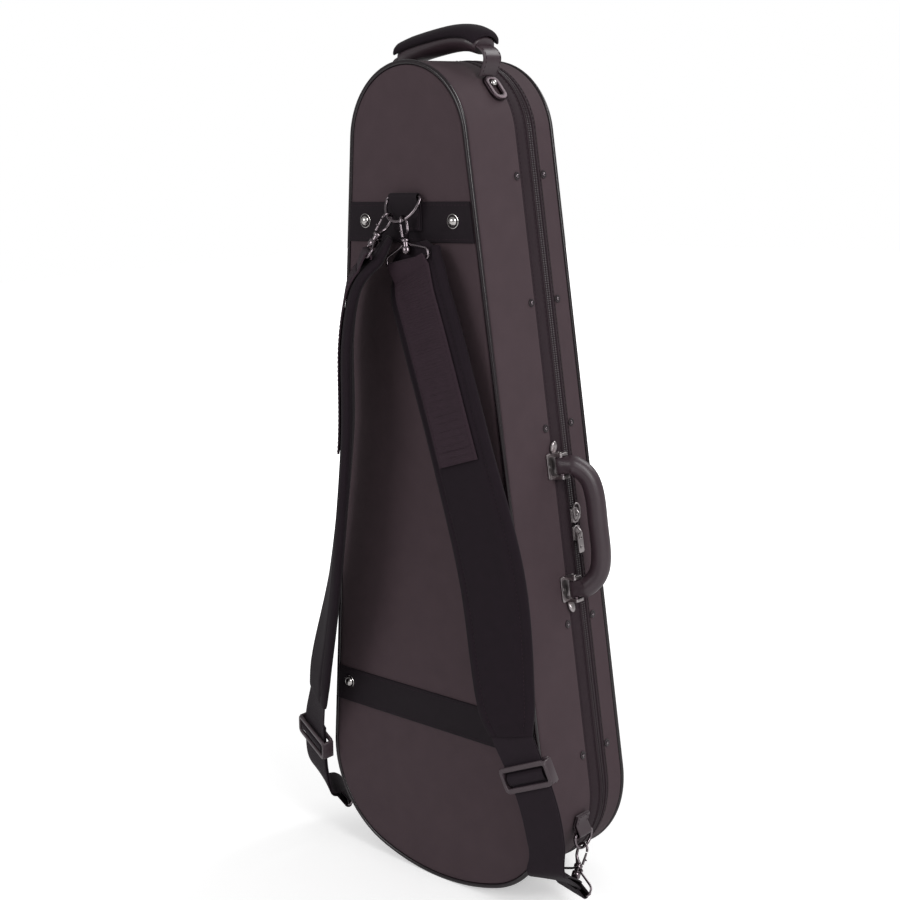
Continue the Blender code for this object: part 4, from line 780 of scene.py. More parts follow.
def rim(offset, y):
    """A loop that follows the outline at one depth."""
    return [Vector((x, y, z)) for x, z, _ in outline(offset)]


def rim_route(offset, y, hinged=True):
    """A route round the outline with its outward normals, with or without the hinged flank."""
    points = rim(offset, y)
    normals = [Vector((math.cos(a), 0, math.sin(a))) for _, _, a in outline(offset)]
    if hinged:
        return points + points[:1], normals + normals[:1]
    start = TOP_STEPS + 1
    return points[start:] + points[:start], normals[start:] + normals[:start]


def wall_place(side, z, y):
    """On a side wall at a height: a runs up the wall, b towards the lid and c outwards."""
    foot = Outline.lobe.y + LOBE_RADIUS * math.sin(Outline.flank)
    head = Outline.top.y + TOP_RADIUS * math.sin(Outline.flank)
    if z < foot:
        angle = math.asin((z - Outline.lobe.y) / LOBE_RADIUS)
        x = Outline.lobe.x + LOBE_RADIUS * math.cos(angle)
    elif z > head:
        angle = math.asin((z - Outline.top.y) / TOP_RADIUS)
        x = TOP_RADIUS * math.cos(angle)
    else:
        angle = Outline.flank
        x = Outline.lobe.x + LOBE_RADIUS * math.cos(angle) - (z - foot) * math.tan(angle)
    up = Vector((-side * math.sin(angle), 0, math.cos(angle)))
    out = Vector((side * math.cos(angle), 0, math.sin(angle)))
    return Place((side * x, y, z), up, FORWARD, out)


def half_width(z):
    return wall_place(RIGHT_SIDE, z, 0).point.x


def from_band(x, off, drop):
    """A strap point by the upper band: across, off the back panel, and below the band."""
    return Vector((x, Y_BACK - off, UPPER_BAND_Z - drop))


def from_edge(side, outside, off, z):
    """A strap point by the case's edge: outside the outline, off the back panel, and height."""
    return Vector((side * (half_width(z) + outside), Y_BACK - off, z))


def square_to(direction, other):
    return (other - direction * other.dot(direction)).normalized()


TOP_BAR_LIFT = BAND_TOP + GAP + LOOP_THICKNESS + GAP + RING_WIRE
HOOK_SEAT = HOOK_TOP - 2 * HOOK_WIRE - 3 * GAP - RING_WIRE


def top_ring_place():
    tilt = math.radians(TOP_RING_TILT)
    point = (0, Y_BACK - TOP_BAR_LIFT, UPPER_BAND_Z + TOP_LOOP_RISE)
    return Place(point, RIGHT, (0, -math.sin(tilt), -math.cos(tilt)), (0, -math.cos(tilt), math.sin(tilt)))


def lower_ring_place(side):
    wall = wall_place(side, LOWER_RING_Z, Y_BACK_TAPE - LOWER_RING_INSET)
    return Place(wall.point + RIGHT * side * LOWER_RING_PROUD, FORWARD, -UP, RIGHT * side)


def ring_spot(place, half, reach, a):
    """The middle of a ring's wire where it crosses a, and the direction of the wire there."""
    t = math.acos(a / half)
    point = place.at(a, RING_CORNER + (reach - RING_CORNER) * math.sin(t))
    along = place.a * half * math.sin(t) - place.b * (reach - RING_CORNER) * math.cos(t)
    return point, along.normalized()


class Strap:
    """One backpack strap: its route, its hooks and the pieces on it."""

    def __init__(self, name, side, pad_route, pad_lead, web_route, ring_x, low_bar, low_wide, low_lead,
                 glide_section):
        self.name, self.side = name, side
        self.pad_route, self.pad_lead, self.web_route = pad_route, pad_lead, web_route
        self.ring_x = ring_x
        self.low_bar, self.low_wide, self.low_lead = low_bar, low_wide, low_lead
        self.glide_section = glide_section * COARSE

    def hook_and_eye(self, held, along, end, across):
        up = (held - end).normalized()
        foot = held - up * HOOK_SEAT
        along, wide = square_to(up, along), square_to(up, across)
        return Place(foot, along.cross(up), along, up), Place(foot, wide, up.cross(wide), up)

    def top_hook(self):
        """The upper hook's place and the place of the eye that swivels in it."""
        held, along = ring_spot(top_ring_place(), TOP_RING_HALF, TOP_RING_REACH, self.ring_x)
        return self.hook_and_eye(held, along, self.pad_route[0][0], self.pad_route[0][1])

    def low_hook(self):
        held, along = ring_spot(lower_ring_place(self.side), LOWER_RING_HALF, LOWER_RING_REACH, 0)
        return self.hook_and_eye(held, along, self.low_bar, self.low_wide)

    def pad_places(self):
        """Places down the pad, from the upper eye to its narrow end."""
        eye = self.top_hook()[1]
        centres = [eye.at(0, 0, -EYE_DROP)] + [row[0] for row in self.pad_route[1:]]
        wides = [eye.a] + [row[1] for row in self.pad_route[1:]]
        return ribbon_places(smooth_route(centres, STRAP_SAMPLES), smooth_route(wides, STRAP_SAMPLES))

    def pad_widths(self):
        widths = smooth_route([Vector((row[2], 0)) for row in self.pad_route], STRAP_SAMPLES)
        return [w.x for w in widths]

    def outward(self, place):
        """1 where a place's b direction points off the back panel, or else -1."""
        return 1 if place.b.dot(-FORWARD) > 0 else -1

    def set_back(self, place, run):
        """How far the pad lies behind its route's face, along b, at a run below the bar."""
        return -self.outward(place) * PAD_SETBACK * max(0, 1 - run / PAD_EASE) ** 2

    def cover_places(self):
        """Places and widths of the pad, whose rounded end stands up behind the eye."""
        frames, widths = self.pad_places(), self.pad_widths()
        top, up = frames[0], self.top_hook()[1].c
        back = square_to(up, -top.b * self.outward(top))
        centres, lead_widths = [], []
        for i in range(LEAD_STEPS):
            share = i / LEAD_STEPS
            centres.append(top.point + up * self.pad_lead * (1 - share) + back * PAD_SETBACK)
            swell = math.sin(math.pi / 2 * share)
            lead_widths.append(widths[0] * (PAD_LEAD_WIDTH + (1 - PAD_LEAD_WIDTH) * swell))
        for frame, run in zip(frames, run_lengths([frame.point for frame in frames])):
            centres.append(frame.at(0, self.set_back(frame, run)))
        return ribbon_places(centres, [top.a] * LEAD_STEPS + [frame.a for frame in frames]), lead_widths + widths

    def webbing_places(self):
        """Places of the lower webbing's outer layer, the eye's bar, and the way up and out from it."""
        eye = self.low_hook()[1]
        bar = eye.at(0, 0, -EYE_DROP)
        away = eye.a.cross(eye.c)
        if away.y > 0:
            away = -away
        lean = math.radians(self.low_lead)
        lead = eye.c * math.cos(lean) + away * math.sin(lean)
        face = away * math.cos(lean) - eye.c * math.sin(lean)
        radius = EYE_WIRE + FOLD_CLEARANCE + WEBBING_THICKNESS / 2
        last = self.pad_places()[-1]
        wide = eye.a if eye.a.dot(self.web_route[-1][1]) > 0 else -eye.a
        end = bar + face * radius
        centres = [last.at(0, 0, 2 * GAP)] + [row[0] for row in self.web_route] + [end + lead * FOLD_LEAD]
        wides = [last.a] + [row[1] for row in self.web_route] + [wide]
        places = ribbon_places(smooth_route(centres, STRAP_SAMPLES) + [end],
                               smooth_route(wides, STRAP_SAMPLES) + [wide])
        places[0] = last.moved(c=2 * GAP)
        return places, bar, lead, face * radius


STRAPS = (
    Strap("right", RIGHT_SIDE,
          pad_route=[(from_band(0.0150, 0.0200, 0.0340), Vector((0.95, 0.00, 0.28)), 0.066),
                     (from_band(0.0240, 0.0185, 0.0560), Vector((0.95, 0.00, 0.28)), 0.072),
                     (from_band(0.0386, 0.0175, 0.1026), Vector((0.95, 0.00, 0.29)), 0.074),
                     (from_band(0.0691, 0.0175, 0.2036), Vector((0.95, 0.00, 0.29)), 0.074),
                     (from_edge(RIGHT_SIDE, -0.0150, 0.0180, 0.3255), Vector((0.94, 0.15, 0.27)), 0.070),
                     (from_edge(RIGHT_SIDE, -0.0165, 0.0180, 0.2166), Vector((0.93, 0.30, 0.20)), 0.058),
                     (from_edge(RIGHT_SIDE, -0.0150, 0.0175, 0.1820), Vector((0.92, 0.25, 0.30)), 0.044)],
          pad_lead=0.018,
          web_route=[(from_edge(RIGHT_SIDE, -0.0020, 0.0160, 0.1476), Vector((0.90, 0.15, 0.38))),
                     (from_edge(RIGHT_SIDE, 0.0040, 0.0125, 0.1130), Vector((0.90, 0.15, 0.38))),
                     (from_edge(RIGHT_SIDE, 0.0105, 0.0105, 0.0800), Vector((0.90, 0.08, 0.38))),
                     (from_edge(RIGHT_SIDE, 0.0225, 0.0115, 0.0540), Vector((0.93, 0.02, 0.33)))],
          ring_x=0.008, low_bar=from_edge(RIGHT_SIDE, 0.0545, -0.0365, 0.0159),
          low_wide=Vector((0.95, -0.15, 0.20)), low_lead=55, glide_section=4),
    Strap("left", LEFT_SIDE,
          pad_route=[(from_band(-0.0330, 0.0330, 0.0370), Vector((0.72, -0.69, -0.10)), 0.049),
                     (from_band(-0.0390, 0.0350, 0.0560), Vector((0.71, -0.70, -0.10)), 0.066),
                     (from_band(-0.0530, 0.0350, 0.1100), Vector((0.70, -0.71, 0.00)), 0.068),
                     (from_band(-0.0600, 0.0350, 0.2000), Vector((0.69, -0.72, 0.00)), 0.068),
                     (from_edge(LEFT_SIDE, -0.0290, 0.0330, 0.3000), Vector((0.75, -0.66, -0.05)), 0.066),
                     (from_edge(LEFT_SIDE, -0.0010, 0.0230, 0.2000), Vector((0.87, -0.49, -0.10)), 0.056),
                     (from_edge(LEFT_SIDE, 0.0090, 0.0180, 0.1600), Vector((0.92, -0.38, -0.14)), 0.044)],
          pad_lead=0.024,
          web_route=[(from_edge(LEFT_SIDE, 0.0190, 0.0120, 0.1280), Vector((0.95, -0.28, -0.13))),
                     (from_edge(LEFT_SIDE, 0.0270, 0.0050, 0.1000), Vector((0.96, -0.24, -0.12))),
                     (from_edge(LEFT_SIDE, 0.0390, -0.0020, 0.0690), Vector((0.95, -0.26, -0.13))),
                     (from_edge(LEFT_SIDE, 0.0510, -0.0130, 0.0450), Vector((0.84, -0.50, -0.16)))],
          ring_x=-0.0125, low_bar=from_edge(LEFT_SIDE, 0.0532, -0.0319, 0.0300),
          low_wide=Vector((0.70, -0.70, -0.15)), low_lead=80, glide_section=7),
)


class VIOLACASE_OT_stage(bpy.types.Operator):
    """Set a pale floor, soft studio light and the photograph's camera"""
    bl_idname = "viola_case.stage"
    bl_label = "Stage"

    def area_light(self, name, place, size, power, aim=(0, 0, 0.4)):
        bpy.ops.object.light_add(type='AREA', location=place)
        lamp = bpy.context.object
        lamp.name = name
        lamp.data.shape = 'RECTANGLE'
        lamp.data.size, lamp.data.size_y = size
        lamp.data.energy = power
        lamp.rotation_euler = (Vector(aim) - Vector(place)).to_track_quat('-Z', 'Y').to_euler()

    def pale_world(self, scene):
        scene.world = bpy.data.worlds.new("pale_room")
        scene.world.use_nodes = True
        tree = scene.world.node_tree
        background = tree.nodes["Background"]
        path = node(tree, "ShaderNodeLightPath")
        plain = node(tree, "ShaderNodeMapRange", {"Value": path.outputs["Is Glossy Ray"], "To Min": 0.42,
                                                  "To Max": 0.30})
        level = combine(tree, 'MAXIMUM', path.outputs["Is Camera Ray"], plain.outputs[0])
        tree.links.new(level, background.inputs["Strength"])
        background.inputs["Color"].default_value = (1, 1, 1, 1)

    def floor(self):
        deselect()
        bpy.ops.mesh.primitive_plane_add(size=14, location=(0, 0, CAD_BOX[0].z))
        floor = bpy.context.object
        floor.name = "floor"
        material, tree, shader = new_material("pale_floor", Roughness=0.9, Specular_IOR_Level=0.1)
        shader.inputs["Base Color"].default_value = (0.80, 0.80, 0.80, 1)
        # Painted light: for camera rays the floor glows, more strongly with distance from the case, so it reaches white
        # far off while the real shadow shows near the case.
        path = node(tree, "ShaderNodeLightPath")
        spread = node(tree, "ShaderNodeVectorMath", {0: node(tree, "ShaderNodeTexCoord").outputs["Object"]},
                      operation='LENGTH')
        fade = node(tree, "ShaderNodeMapRange", {"Value": spread.outputs["Value"], "From Min": 0.25,
                                                 "From Max": 1.7, "To Min": 0.45, "To Max": 1.2},
                    interpolation_type='SMOOTHSTEP')
        seen = combine(tree, 'MULTIPLY', path.outputs["Is Camera Ray"], fade.outputs[0])
        tree.links.new(seen, shader.inputs["Emission Strength"])
        shader.inputs["Emission Color"].default_value = (1, 1, 1, 1)
        floor.data.materials.append(material)

    def execute(self, context):
        scene = context.scene
        scene.view_settings.view_transform = 'Standard'
        self.pale_world(scene)
        self.floor()
        self.area_light("key_light", (2.4, -0.6, 1.7), (0.9, 1.8), 36)
        self.area_light("fill_light", (-0.6, -2.6, 1.5), (1.6, 1.2), 22)
        self.area_light("back_light", (0.8, 2.0, 2.2), (2.0, 1.0), 26)
        bpy.ops.object.camera_add(location=CAMERA_PLACE)
        camera = context.object
        down = CAMERA_FORWARD.cross(CAMERA_RIGHT)
        turned_to = Matrix((CAMERA_RIGHT, -down, -CAMERA_FORWARD)).transposed()
        camera.rotation_euler = turned_to.to_euler()
        camera.data.lens = CAMERA_LENS
        camera.data.clip_start = 0.01
        scene.camera = camera
        return {'FINISHED'}


def inward(centre, normal):
    """True for a face of a shell that looks towards the middle of the case."""
    return normal.dot(Vector((centre.x, 0, centre.z - CASE_LENGTH / 2))) < 0


class VIOLACASE_OT_shells(bpy.types.Operator):
    """Model the back and lid shells: canvas outside, plush inside, with the lip that the lid closes over"""
    bl_idname = "viola_case.shells"
    bl_label = "Shells"

    def turned_edge(self, y, sign):
        """Canvas turned into the rebate, round at both corners; sign points out of the panel."""
        soft = 0.0008
        return [(0, y - sign * (REBATE + 4 * soft)), (0, y - sign * (REBATE + soft)), (-soft / 3, y - sign * (REBATE + soft / 3)),
                (-soft, y - sign * REBATE), (-REBATE, y - sign * REBATE), (-REBATE, y - sign * soft),
                (-REBATE - soft / 3, y - sign * soft / 3), (-REBATE - soft, y), (-REBATE - 6 * soft, y)]

    def execute(self, context):
        edge = self.turned_edge(Y_BACK, -1)
        profile = [(-WALL, Y_FLOOR), (-WALL, Y_LIP - 0.001), (-WALL + 0.001, Y_LIP), (-WALL + LIP_WIDTH - 0.001, Y_LIP),
                   (-WALL + LIP_WIDTH, Y_LIP - 0.001), (-WALL + LIP_WIDTH, Y_BACK_RIM), (-RECESS, Y_BACK_RIM),
                   (-RECESS, Y_BACK_TAPE - GAP), (0, Y_BACK_TAPE - GAP)] + edge
        shell = loft("back_canvas", [rim(offset, y) for offset, y in profile])
        finished(shell, "canvas", "case", ("back_shell",), smooth=50)
        painted(shell, "plush", lambda c, n: n.y > 0.5 or inward(c, n) or c.y > Y_BACK_RIM)
        outer_lip = -WALL + LIP_WIDTH + LIP_CLEARANCE
        edge = self.turned_edge(Y_LID_FACE, 1)
        profile = [(-WALL, Y_CEILING), (-WALL, Y_LIP + LIP_CLEARANCE), (outer_lip, Y_LIP + LIP_CLEARANCE),
                   (outer_lip, Y_LID_RIM), (-RECESS, Y_LID_RIM), (-RECESS, Y_LID_TAPE + GAP),
                   (0, Y_LID_TAPE + GAP)] + edge
        shell = loft("lid_canvas", [rim(offset, y) for offset, y in profile])
        finished(shell, "canvas", "lid", ("lid_shell",), smooth=50)
        painted(shell, "plush", lambda c, n: n.y < -0.5 or inward(c, n))
        return {'FINISHED'}


class VIOLACASE_OT_front_panel(bpy.types.Operator):
    """Model the padded front panel, swelling gently from its sewn edge"""
    bl_idname = "viola_case.front_panel"
    bl_label = "Front panel"

    def execute(self, context):
        edge = -REBATE - GAP
        rise = Y_FRONT - Y_LID_FACE - GAP
        swell = ((0.0, 0.0), (0.0, 0.45), (0.0006, 0.62), (0.0016, 0.76), (0.0034, 0.86), (0.0075, 0.94),
                 (0.015, 0.985), (0.025, 1.0))
        rows = [rim(edge - inset, Y_LID_FACE + GAP + rise * share) for inset, share in swell]
        panel = finished(loft("front_panel", rows), "canvas", "lid", ("front_pad",), smooth=60)
        return {'FINISHED'}


class VIOLACASE_OT_piping(bpy.types.Operator):
    """Model the glossy vinyl piping round both panels"""
    bl_idname = "viola_case.piping"
    bl_label = "Piping"

    def cord(self, name, y, body, node_name):
        turns = arc_steps(0, 2 * math.pi, 16)[:-1]
        rows = [rim(-PIPING_INSET + PIPING_RADIUS * math.cos(t), y + PIPING_RADIUS * math.sin(t)) for t in turns]
        finished(loft(name, rows, closed=True), "piping_vinyl", body, (node_name,), smooth=80)

    def execute(self, context):
        self.cord("back_piping_cord", Y_BACK + PIPING_INSET, "case", "back_piping")
        self.cord("lid_piping_cord", Y_LID_FACE - PIPING_INSET, "lid", "lid_piping")
        return {'FINISHED'}


class VIOLACASE_OT_zip(bpy.types.Operator):
    """Model the zip: woven tapes with a corded bead, their stitches and the coil's turns"""
    bl_idname = "viola_case.zip"
    bl_label = "Zip"

    def tape(self, name, y_far, y_near, body, node_name):
        sign = 1 if y_near > y_far else -1
        bead_y = Y_SEAM - sign * BEAD_FROM_SEAM
        profile = [(-TAPE_THICKNESS, y_far), (-0.0003, y_far), (0, y_far + sign * 0.0004)]
        for t in arc_steps(0, math.pi, 8):
            profile.append((BEAD_RADIUS * math.sin(t), bead_y - sign * BEAD_RADIUS * math.cos(t)))
        profile += [(0, y_near), (-TAPE_THICKNESS, y_near)]
        rows = [rim(offset, y) for offset, y in profile]
        finished(loft(name, rows, closed=True), "zip_nylon", body, (node_name,), smooth=50)

    def teeth(self, name, sign, context, body):
        pitch = context.scene.viola_case_sizes.tooth_pitch
        deselect()
        bpy.ops.mesh.primitive_ico_sphere_add(subdivisions=1, radius=1)
        tooth = context.object
        tooth.data.transform(Matrix.Diagonal((pitch * 0.36, CHAIN_HALF_WIDTH * 0.46, CHAIN_PROUD, 1)))
        places = along_route(*rim_route(0, Y_SEAM - sign * CHAIN_HALF_WIDTH * 0.54, hinged=False), pitch)
        finished(repeated(name, tooth, places), "coil", body)

    def execute(self, context):
        self.tape("back_zip_tape", Y_BACK_TAPE, Y_SEAM - GAP / 2, "case", "back_zip")
        self.tape("lid_zip_tape", Y_LID_TAPE, Y_SEAM + GAP / 2, "lid", "lid_zip")
        self.teeth("back_zip_coil", 1, context, "case")
        self.teeth("lid_zip_coil", -1, context, "lid")
        inset = 0.0022
        routes = [rim_route(0.0002, Y_BACK_TAPE + inset), rim_route(0.0002, Y_SEAM - BEAD_FROM_SEAM - inset)]
        stitched("back_zip_stitches", context, routes, "case")
        stitched("lid_zip_stitches", context, [rim_route(0.0002, Y_LID_TAPE - inset / 2)], "lid")
        return {'FINISHED'}


class VIOLACASE_OT_rivets(bpy.types.Operator):
    """Set the enamelled rivets along both flanks and the domed studs on the bands"""
    bl_idname = "viola_case.rivets"
    bl_label = "Rivets and studs"

    def execute(self, context):
        washer = ((0.0038, 0), (0.0038, 0.0004), (0.0034, 0.0010), (0.0028, 0.0010), (0.0023, 0.0004), (0, 0.0004))
        head = ((0.0016, 0.0004), (0.0015, 0.0011), (0.0008, 0.0015), (0, 0.0016))
        for where, y, body in (("back", BACK_RIVETS_Y, "case"), ("lid", LID_RIVETS_Y, "lid")):
            places = [wall_place(side, z, y) for side, _ in SIDES for z in RIVET_HEIGHTS]
            for name, profile, finish in ((f"{where}_rivet_washers", washer, "enamel_and_groove_shade"),
                                          (f"{where}_rivet_heads", head, "gunmetal")):
                finished(joined(name, [turned(name, place, profile, 24) for place in places]), finish, body)
        dome = ((0.0068, 0), (0.0068, 0.0006), (0.0065, 0.0011), (0.0060, 0.0012), (0.0056, 0.0008),
                (0.0053, 0.0003), (0.0049, 0.0003), (0.0046, 0.0014), (0.0039, 0.0027), (0.0027, 0.0037),
                (0.0013, 0.0042), (0, 0.0043))
        studs = []
        for x, z in STUD_PLACES:
            for side, _ in SIDES:
                place = Place((side * x, Y_BACK - BAND_TOP, z), RIGHT, UP, -FORWARD)
                studs.append(turned("band_studs", place, dome, 36))
        studs = finished(joined("band_studs", studs), "nickel", "case")
        # Painted shade: the faces in each stud's groove take the dark rivet enamel, standing for the shade that falls
        # between the flange and the dome.
        painted(studs, "enamel_and_groove_shade", self.groove_shade_faces)
        return {'FINISHED'}

    def groove_shade_faces(self, centre, normal):
        """True for a face in a stud's groove, between its flange and its dome, which is painted dark as shade."""
        out = min(math.hypot(abs(centre.x) - x, centre.z - z) for x, z in STUD_PLACES)
        return 0.0047 < out < 0.0059 and centre.y > Y_BACK - BAND_TOP - 0.0011


class VIOLACASE_OT_bands(bpy.types.Operator):
    """Model the two webbing bands that are sewn across the back panel"""
    bl_idname = "viola_case.bands"
    bl_label = "Bands"

    def execute(self, context):
        edge = REBATE + GAP
        for name, z in (("upper_band", UPPER_BAND_Z), ("lower_band", LOWER_BAND_Z)):
            rows, soft = [], BAND_THICKNESS * 0.45
            low, high = z - BAND_HEIGHT / 2, z + BAND_HEIGHT / 2
            for i in range(25):
                share = i / 12 - 1
                x_low, x_high = ((half_width(h) - edge) * share for h in (low, high))
                y_in, y_out = Y_BACK - GAP, Y_BACK - BAND_TOP
                rows.append([Vector((x_low, y_in, low)), Vector((x_low, y_out + soft, low)),
                             Vector((x_low, y_out, low + soft)), Vector((x_high, y_out, high - soft)),
                             Vector((x_high, y_out + soft, high)), Vector((x_high, y_in, high))])
            finished(loft(f"{name}_webbing", rows), "band_webbing", "case", (name,))
            y = Y_BACK - BAND_TOP - 0.0001
            routes = []
            for h in (low + 0.003, high - 0.003):
                reach = half_width(h) - edge
                routes.append(([Vector((-reach, y, h)), Vector((reach, y, h))], [-FORWARD, -FORWARD]))
            stitched(f"{name}_stitches", context, routes, "case")
        return {'FINISHED'}


def loop_route(bar, tail, lift, wrap):
    """The route of webbing folded round a ring's bar, from its hidden tail to its front tail."""
    radius = RING_WIRE + GAP + LOOP_THICKNESS / 2
    seat = GAP + LOOP_THICKNESS / 2 - lift
    back = [(tail, seat), (tail * 0.35, seat)]
    turns = arc_steps(wrap * math.pi / 6, -math.pi - wrap * math.pi / 6, 12 + 4 * wrap)
    fold = [(radius * math.sin(t), -radius * math.cos(t)) for t in turns]
    front = [(tail * 0.45, seat + LOOP_THICKNESS * 1.6), (tail, seat + LOOP_THICKNESS + GAP)]
    return [bar.at(0, b, c) for b, c in back + fold + front]


class VIOLACASE_OT_ring_loops(bpy.types.Operator):
    """Model the webbing loop of the large ring and the vinyl loops of the two small ones"""
    bl_idname = "viola_case.ring_loops"
    bl_label = "Ring loops"

    def loop(self, name, context, bar, width, tail, lift, wrap, finish):
        route = loop_route(bar, tail, lift, wrap)
        places = ribbon_places(route, [bar.a] * len(route))
        section = webbing_section(width, LOOP_THICKNESS)
        finished(swept(f"{name}_fold", places, section), finish, "case", (name,), smooth=50)
        front = [route[-2], route[-1]]
        face = places[-1].b if places[-1].b.dot(bar.c) > 0 else -places[-1].b
        routes = []
        for side in (-1, 1):
            offset = bar.a * side * (width / 2 - 0.0022) + face * (LOOP_THICKNESS / 2 + 0.0001)
            routes.append(([point + offset for point in front], [face] * 2))
        ends = [front[1].lerp(front[0], 0.12) + bar.a * side * (width / 2 - 0.0022) for side in (-1, 1)]
        routes.append(([end + face * (LOOP_THICKNESS / 2 + 0.0001) for end in ends], [face] * 2))
        stitched(f"{name}_stitches", context, routes, "case")

    def execute(self, context):
        bar = top_ring_place()
        self.loop("top_ring_loop", context, Place(bar.point, RIGHT, -UP, -FORWARD), TOP_LOOP_WIDTH,
                  TOP_LOOP_TAIL, TOP_BAR_LIFT - BAND_TOP, 0, "band_webbing")
        for side, name in SIDES:
            point = lower_ring_place(side).point
            wall = wall_place(side, point.z, point.y)
            lift = (point - wall.point).dot(wall.c)
            self.loop(f"lower_ring_loop_{name}", context, Place(point, FORWARD, wall.a, wall.c),
                      LOWER_LOOP_WIDTH, LOWER_LOOP_TAIL, lift, 1, "handle_vinyl")
        return {'FINISHED'}


class VIOLACASE_OT_rings(bpy.types.Operator):
    """Bend the three D-rings from round wire"""
    bl_idname = "viola_case.rings"
    bl_label = "D-rings"

    def bent(self, name, place, half, reach):
        corner = RING_CORNER
        points = [place.at(half - corner + corner * math.cos(t), corner + corner * math.sin(t))
                  for t in arc_steps(-math.pi / 2, 0, 6)]
        points += [place.at(half * math.cos(t), corner + (reach - corner) * math.sin(t))
                   for t in arc_steps(0, math.pi, 40)[1:-1]]
        points += [place.at(-half + corner - corner * math.cos(t), corner + corner * math.sin(t))
                   for t in arc_steps(0, -math.pi / 2, 6)]
        finished(wire(f"{name}_wire", points, RING_DRAWN, place.c, 14, closed=True), "gunmetal", "case",
                 (name,), smooth=80)

    def execute(self, context):
        self.bent("top_ring", top_ring_place(), TOP_RING_HALF, TOP_RING_REACH)
        for side, name in SIDES:
            self.bent(f"lower_ring_{name}", lower_ring_place(side), LOWER_RING_HALF, LOWER_RING_REACH)
        return {'FINISHED'}


class VIOLACASE_OT_snap_hooks(bpy.types.Operator):
    """Model the four swivel snap hooks with their gates and the wire eyes of the straps"""
    bl_idname = "viola_case.snap_hooks"
    bl_label = "Snap hooks"

    def hook(self, name, place):
        w, r = HOOK_BOW
        crest = HOOK_SEAT + RING_DRAWN + GAP / 2 + r
        bow = [(-0.0004, 0.0132, 0.0027), (-w * 0.62, 0.0170, r + 0.0003), (-w, 0.0212, r), (-w, crest - 0.0055, r),
               (-w * 0.74, crest - 0.0016, r), (0, crest, r), (w * 0.74, crest - 0.0016, r * 0.9),
               (w, crest - 0.0048, r * 0.85), (w, crest - 0.0060, r * 0.75)]
        route = smooth_route([Vector((a, c, radius)) for a, c, radius in bow], 6)
        body = wire(name, [place.at(p.x, 0, p.y) for p in route], [p.z for p in route], place.b, 14)
        barrel = turned(name, place, (
            (0.0024, -0.0009), (0.0032, -0.0006), (0.0034, 0), (BARREL_RADIUS - 0.0004, 0.0001),
            (BARREL_RADIUS, 0.0006), (BARREL_RADIUS, BARREL_HEIGHT - 0.0006), (BARREL_RADIUS - 0.0006, BARREL_HEIGHT),
            (NECK_RADIUS, BARREL_HEIGHT + 0.0001), (NECK_RADIUS, NECK_TOP), (BARREL_RADIUS - 0.0005, NECK_TOP + 0.0001),
            (BARREL_RADIUS, NECK_TOP + 0.0006), (BARREL_RADIUS, SHOULDER_TOP - 0.0003), (NECK_RADIUS, SHOULDER_TOP + 0.0010),
            (0.0012, SHOULDER_TOP + 0.0016)), 28)
        return joined(name, [body, barrel])

    def gate(self, name, place):
        tip_height = HOOK_SEAT + RING_DRAWN + HOOK_BOW[1] - 0.0072
        foot, tip = place.at(GATE_FOOT[0] - 0.0006, 0, GATE_FOOT[1]), place.at(HOOK_BOW[0], 0, tip_height)
        points = [foot.lerp(tip, i / 8) for i in range(9)]
        lever = wire(name, points, [GATE_RADIUS * (0.9 - 0.2 * i / 8) for i in range(9)], place.b, 12)
        knob_foot = foot.lerp(tip, 0.45)
        out = square_to((tip - foot).normalized(), place.a)
        knob = wire(name, [knob_foot, knob_foot + out * 0.0024, knob_foot + out * 0.0030], [0.0008, 0.0008, 0.0004],
                    place.b, 10)
        return joined(name, [lever, knob])

    def eye(self, name, place, half):
        neck = NECK_RADIUS + GAP + EYE_WIRE
        level = (BARREL_HEIGHT + NECK_TOP) / 2
        side = [(-half + EYE_CORNER, -EYE_DROP, 0), (-half, -EYE_DROP + EYE_CORNER, 0),
                (-half, EYE_SHOULDER - EYE_CORNER, 0), (-half + EYE_CORNER, EYE_SHOULDER, 0),
                (-neck - 0.002, level - 0.0012, 0)]
        points = side + [(-neck * math.cos(t), level, neck * math.sin(t)) for t in arc_steps(0, math.pi, 10)]
        points += [(-a, c, b) for a, c, b in side[::-1]]
        return wire(name, [place.at(a, b, c) for a, c, b in points], EYE_DRAWN, place.b, 12, closed=True)

    def execute(self, context):
        for strap in STRAPS:
            for level, (hook, eye), half in (("top", strap.top_hook(), UPPER_EYE_HALF),
                                             ("low", strap.low_hook(), LOWER_EYE_HALF)):
                tag = f"{level}_hook_{strap.name}"
                finished(self.hook(f"{tag}_body", hook), "gunmetal", "case", (tag,), smooth=60)
                tag = f"{level}_gate_{strap.name}"
                finished(self.gate(f"{tag}_lever", hook), "gunmetal", tag, (tag,), smooth=60)
                tag = f"{level}_eye_{strap.name}"
                finished(self.eye(f"{tag}_wire", eye, half), "gunmetal", "case", (tag,), smooth=60)
        return {'FINISHED'}


def pad_section(width, thickness, face):
    """A padded strap's section: a foam plateau, a sewn groove, and a bound roll along each edge."""
    half, t = width / 2, thickness / 2
    roll = min(t * 0.62, 0.0034)
    groove_at = half - 0.0085
    half_points = [(0, t), (groove_at * 0.6, t), (groove_at - 0.0040, t * 0.97), (groove_at - 0.0016, t * 0.86),
                   (groove_at, t * 0.66), (groove_at + 0.0014, t * 0.78), (groove_at + 0.0034, t * 0.84),
                   (half - roll, t * 0.66)]
    half_points += [(half - roll + roll * math.cos(a), roll * math.sin(a)) for a in arc_steps(1.1, 0, 4)]
    upper = [(-a, b) for a, b in half_points[:0:-1]] + half_points
    return [(a, b * face) for a, b in upper + [(-a, -b) for a, b in upper[1:-1]]]


